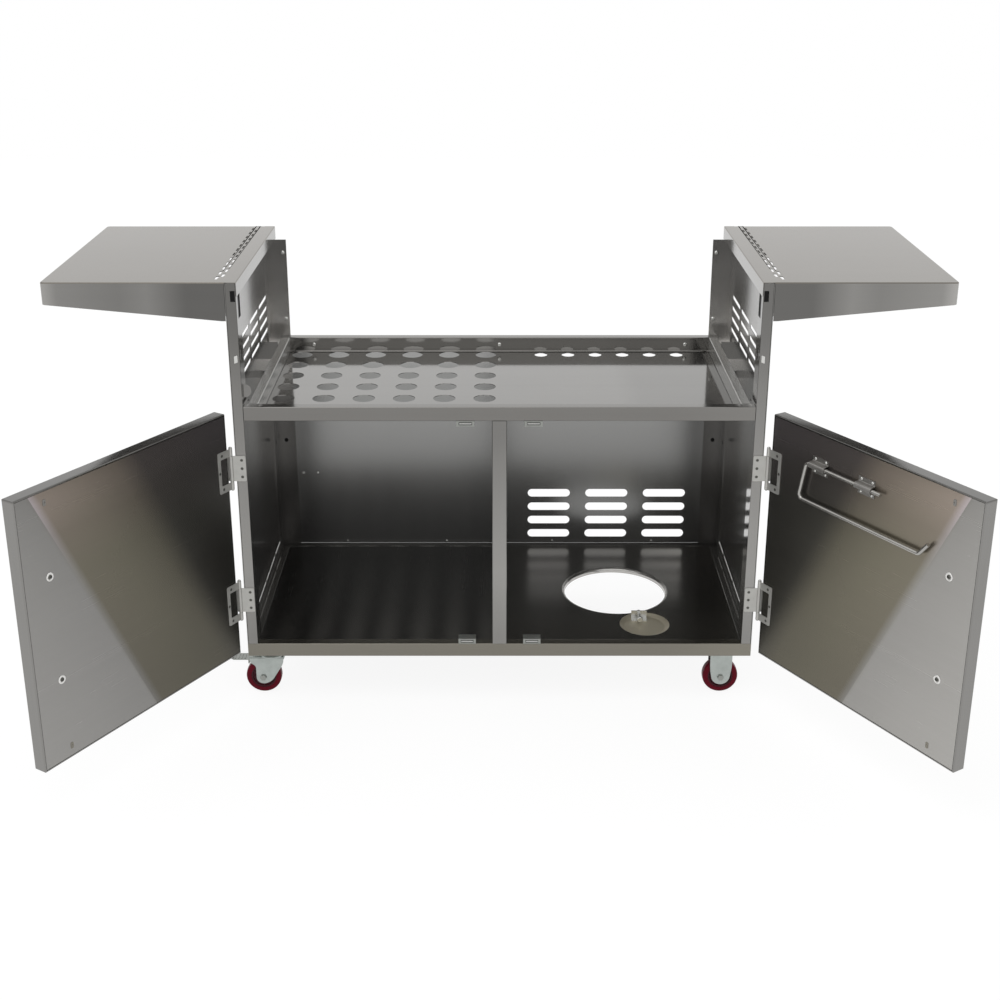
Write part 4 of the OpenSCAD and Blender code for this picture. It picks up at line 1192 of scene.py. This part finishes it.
leg_drop = TOWEL_TOP - TOWEL_LOW - 2 * ROD_BEND
leg = leg_drop / math.cos(LEAN)
run = TOWEL_RUN - ROD_BEND + leg_drop * math.tan(LEAN)
hook = bent_rod(ROD_RADIUS, (TOWEL_X - TOWEL_END, TOWEL_Y, TOWEL_TOP), X, (
    TOWEL_END - ROD_BEND, (QUARTER - LEAN, ROD_BEND, Y), leg,
    (QUARTER + LEAN, ROD_BEND, Y), run, (TIP_ANGLE, ROD_BEND, Y), TIP_LONG))
rod_steel = metal("towel_rod", (0.40, 0.39, 0.37), 0.2, 0.08)
hand_over_one(hook, SWING, "towel_hook", (rod_steel,), "towel_rod", ("towel_bar",), "zinc")

saddle_steel = metal("saddle_satin", (0.3, 0.29, 0.275), 0.3, 0.12)
saddles = bmesh.new()
for middle in (TOWEL_X - ROD_BEND - SADDLE_LENGTH / 2 - 1, TOWEL_X - 154):
    strip = folded(SADDLE_LINE[::-1], -SADDLE_LENGTH / 2, SADDLE_LENGTH / 2, 1.4, 1.0)
    put(saddles, strip, SWING @ at(middle, DOOR_BACK, TOWEL_TOP) @ SWAP_XZ)
    for across, height in SADDLE_SCREWS:
        spot = at(middle + across, DOOR_BACK + 1.5, TOWEL_TOP + height)
        put(saddles, screw_head(3.2, 1.4), SWING @ spot @ TO_Y, 1)
hand_over(saddles, "towel_saddles", (saddle_steel, bright_zinc), "right_door", ("towel_clamps",))

# Tank lock. A small angle welded in the dish carries a knob screw that presses on the foot ring of
# the gas bottle.
LOCK_X = TANK_X + 44
LOCK_Y = DISH_Y + 37.5
LOCK_Z = FLOOR_TOP + 5.5
LOCK_HALF = 17.0
DISH_FLOOR = FLOOR_TOP - DISH_DROP
SHANK = ((0, -24), (3.9, -24), (3.9, 11), (3.0, 12), (0, 12))
KNOB = ((0, -31), (5.2, -31), (6.4, -30), (6.5, -25), (5.6, -24), (0, -24))
angle_iron = folded(((LOCK_Y - 16, DISH_FLOOR), (LOCK_Y + 1.5, DISH_FLOOR),
                     (LOCK_Y + 1.5, FLOOR_TOP + 12.5)), LOCK_X - LOCK_HALF, LOCK_X + LOCK_HALF, 2.2, 1.4)
hand_over_one(angle_iron, Matrix(((0, 0, 1, 0), (1, 0, 0, 0), (0, 1, 0, 0), (0, 0, 0, 1))),
              "tank_lock_angle", (bright_zinc,), "cart", ("tank_lock_bracket",), "zinc")
lock = bmesh.new()
for section, steps in ((SHANK, 24), (KNOB, 20)):
    put(lock, turned(section, steps), at(LOCK_X, LOCK_Y, LOCK_Z) @ TO_Y)
hand_over(lock, "tank_lock_knob", (bright_zinc,), "lock_screw", ("tank_lock_screw",), "zinc")
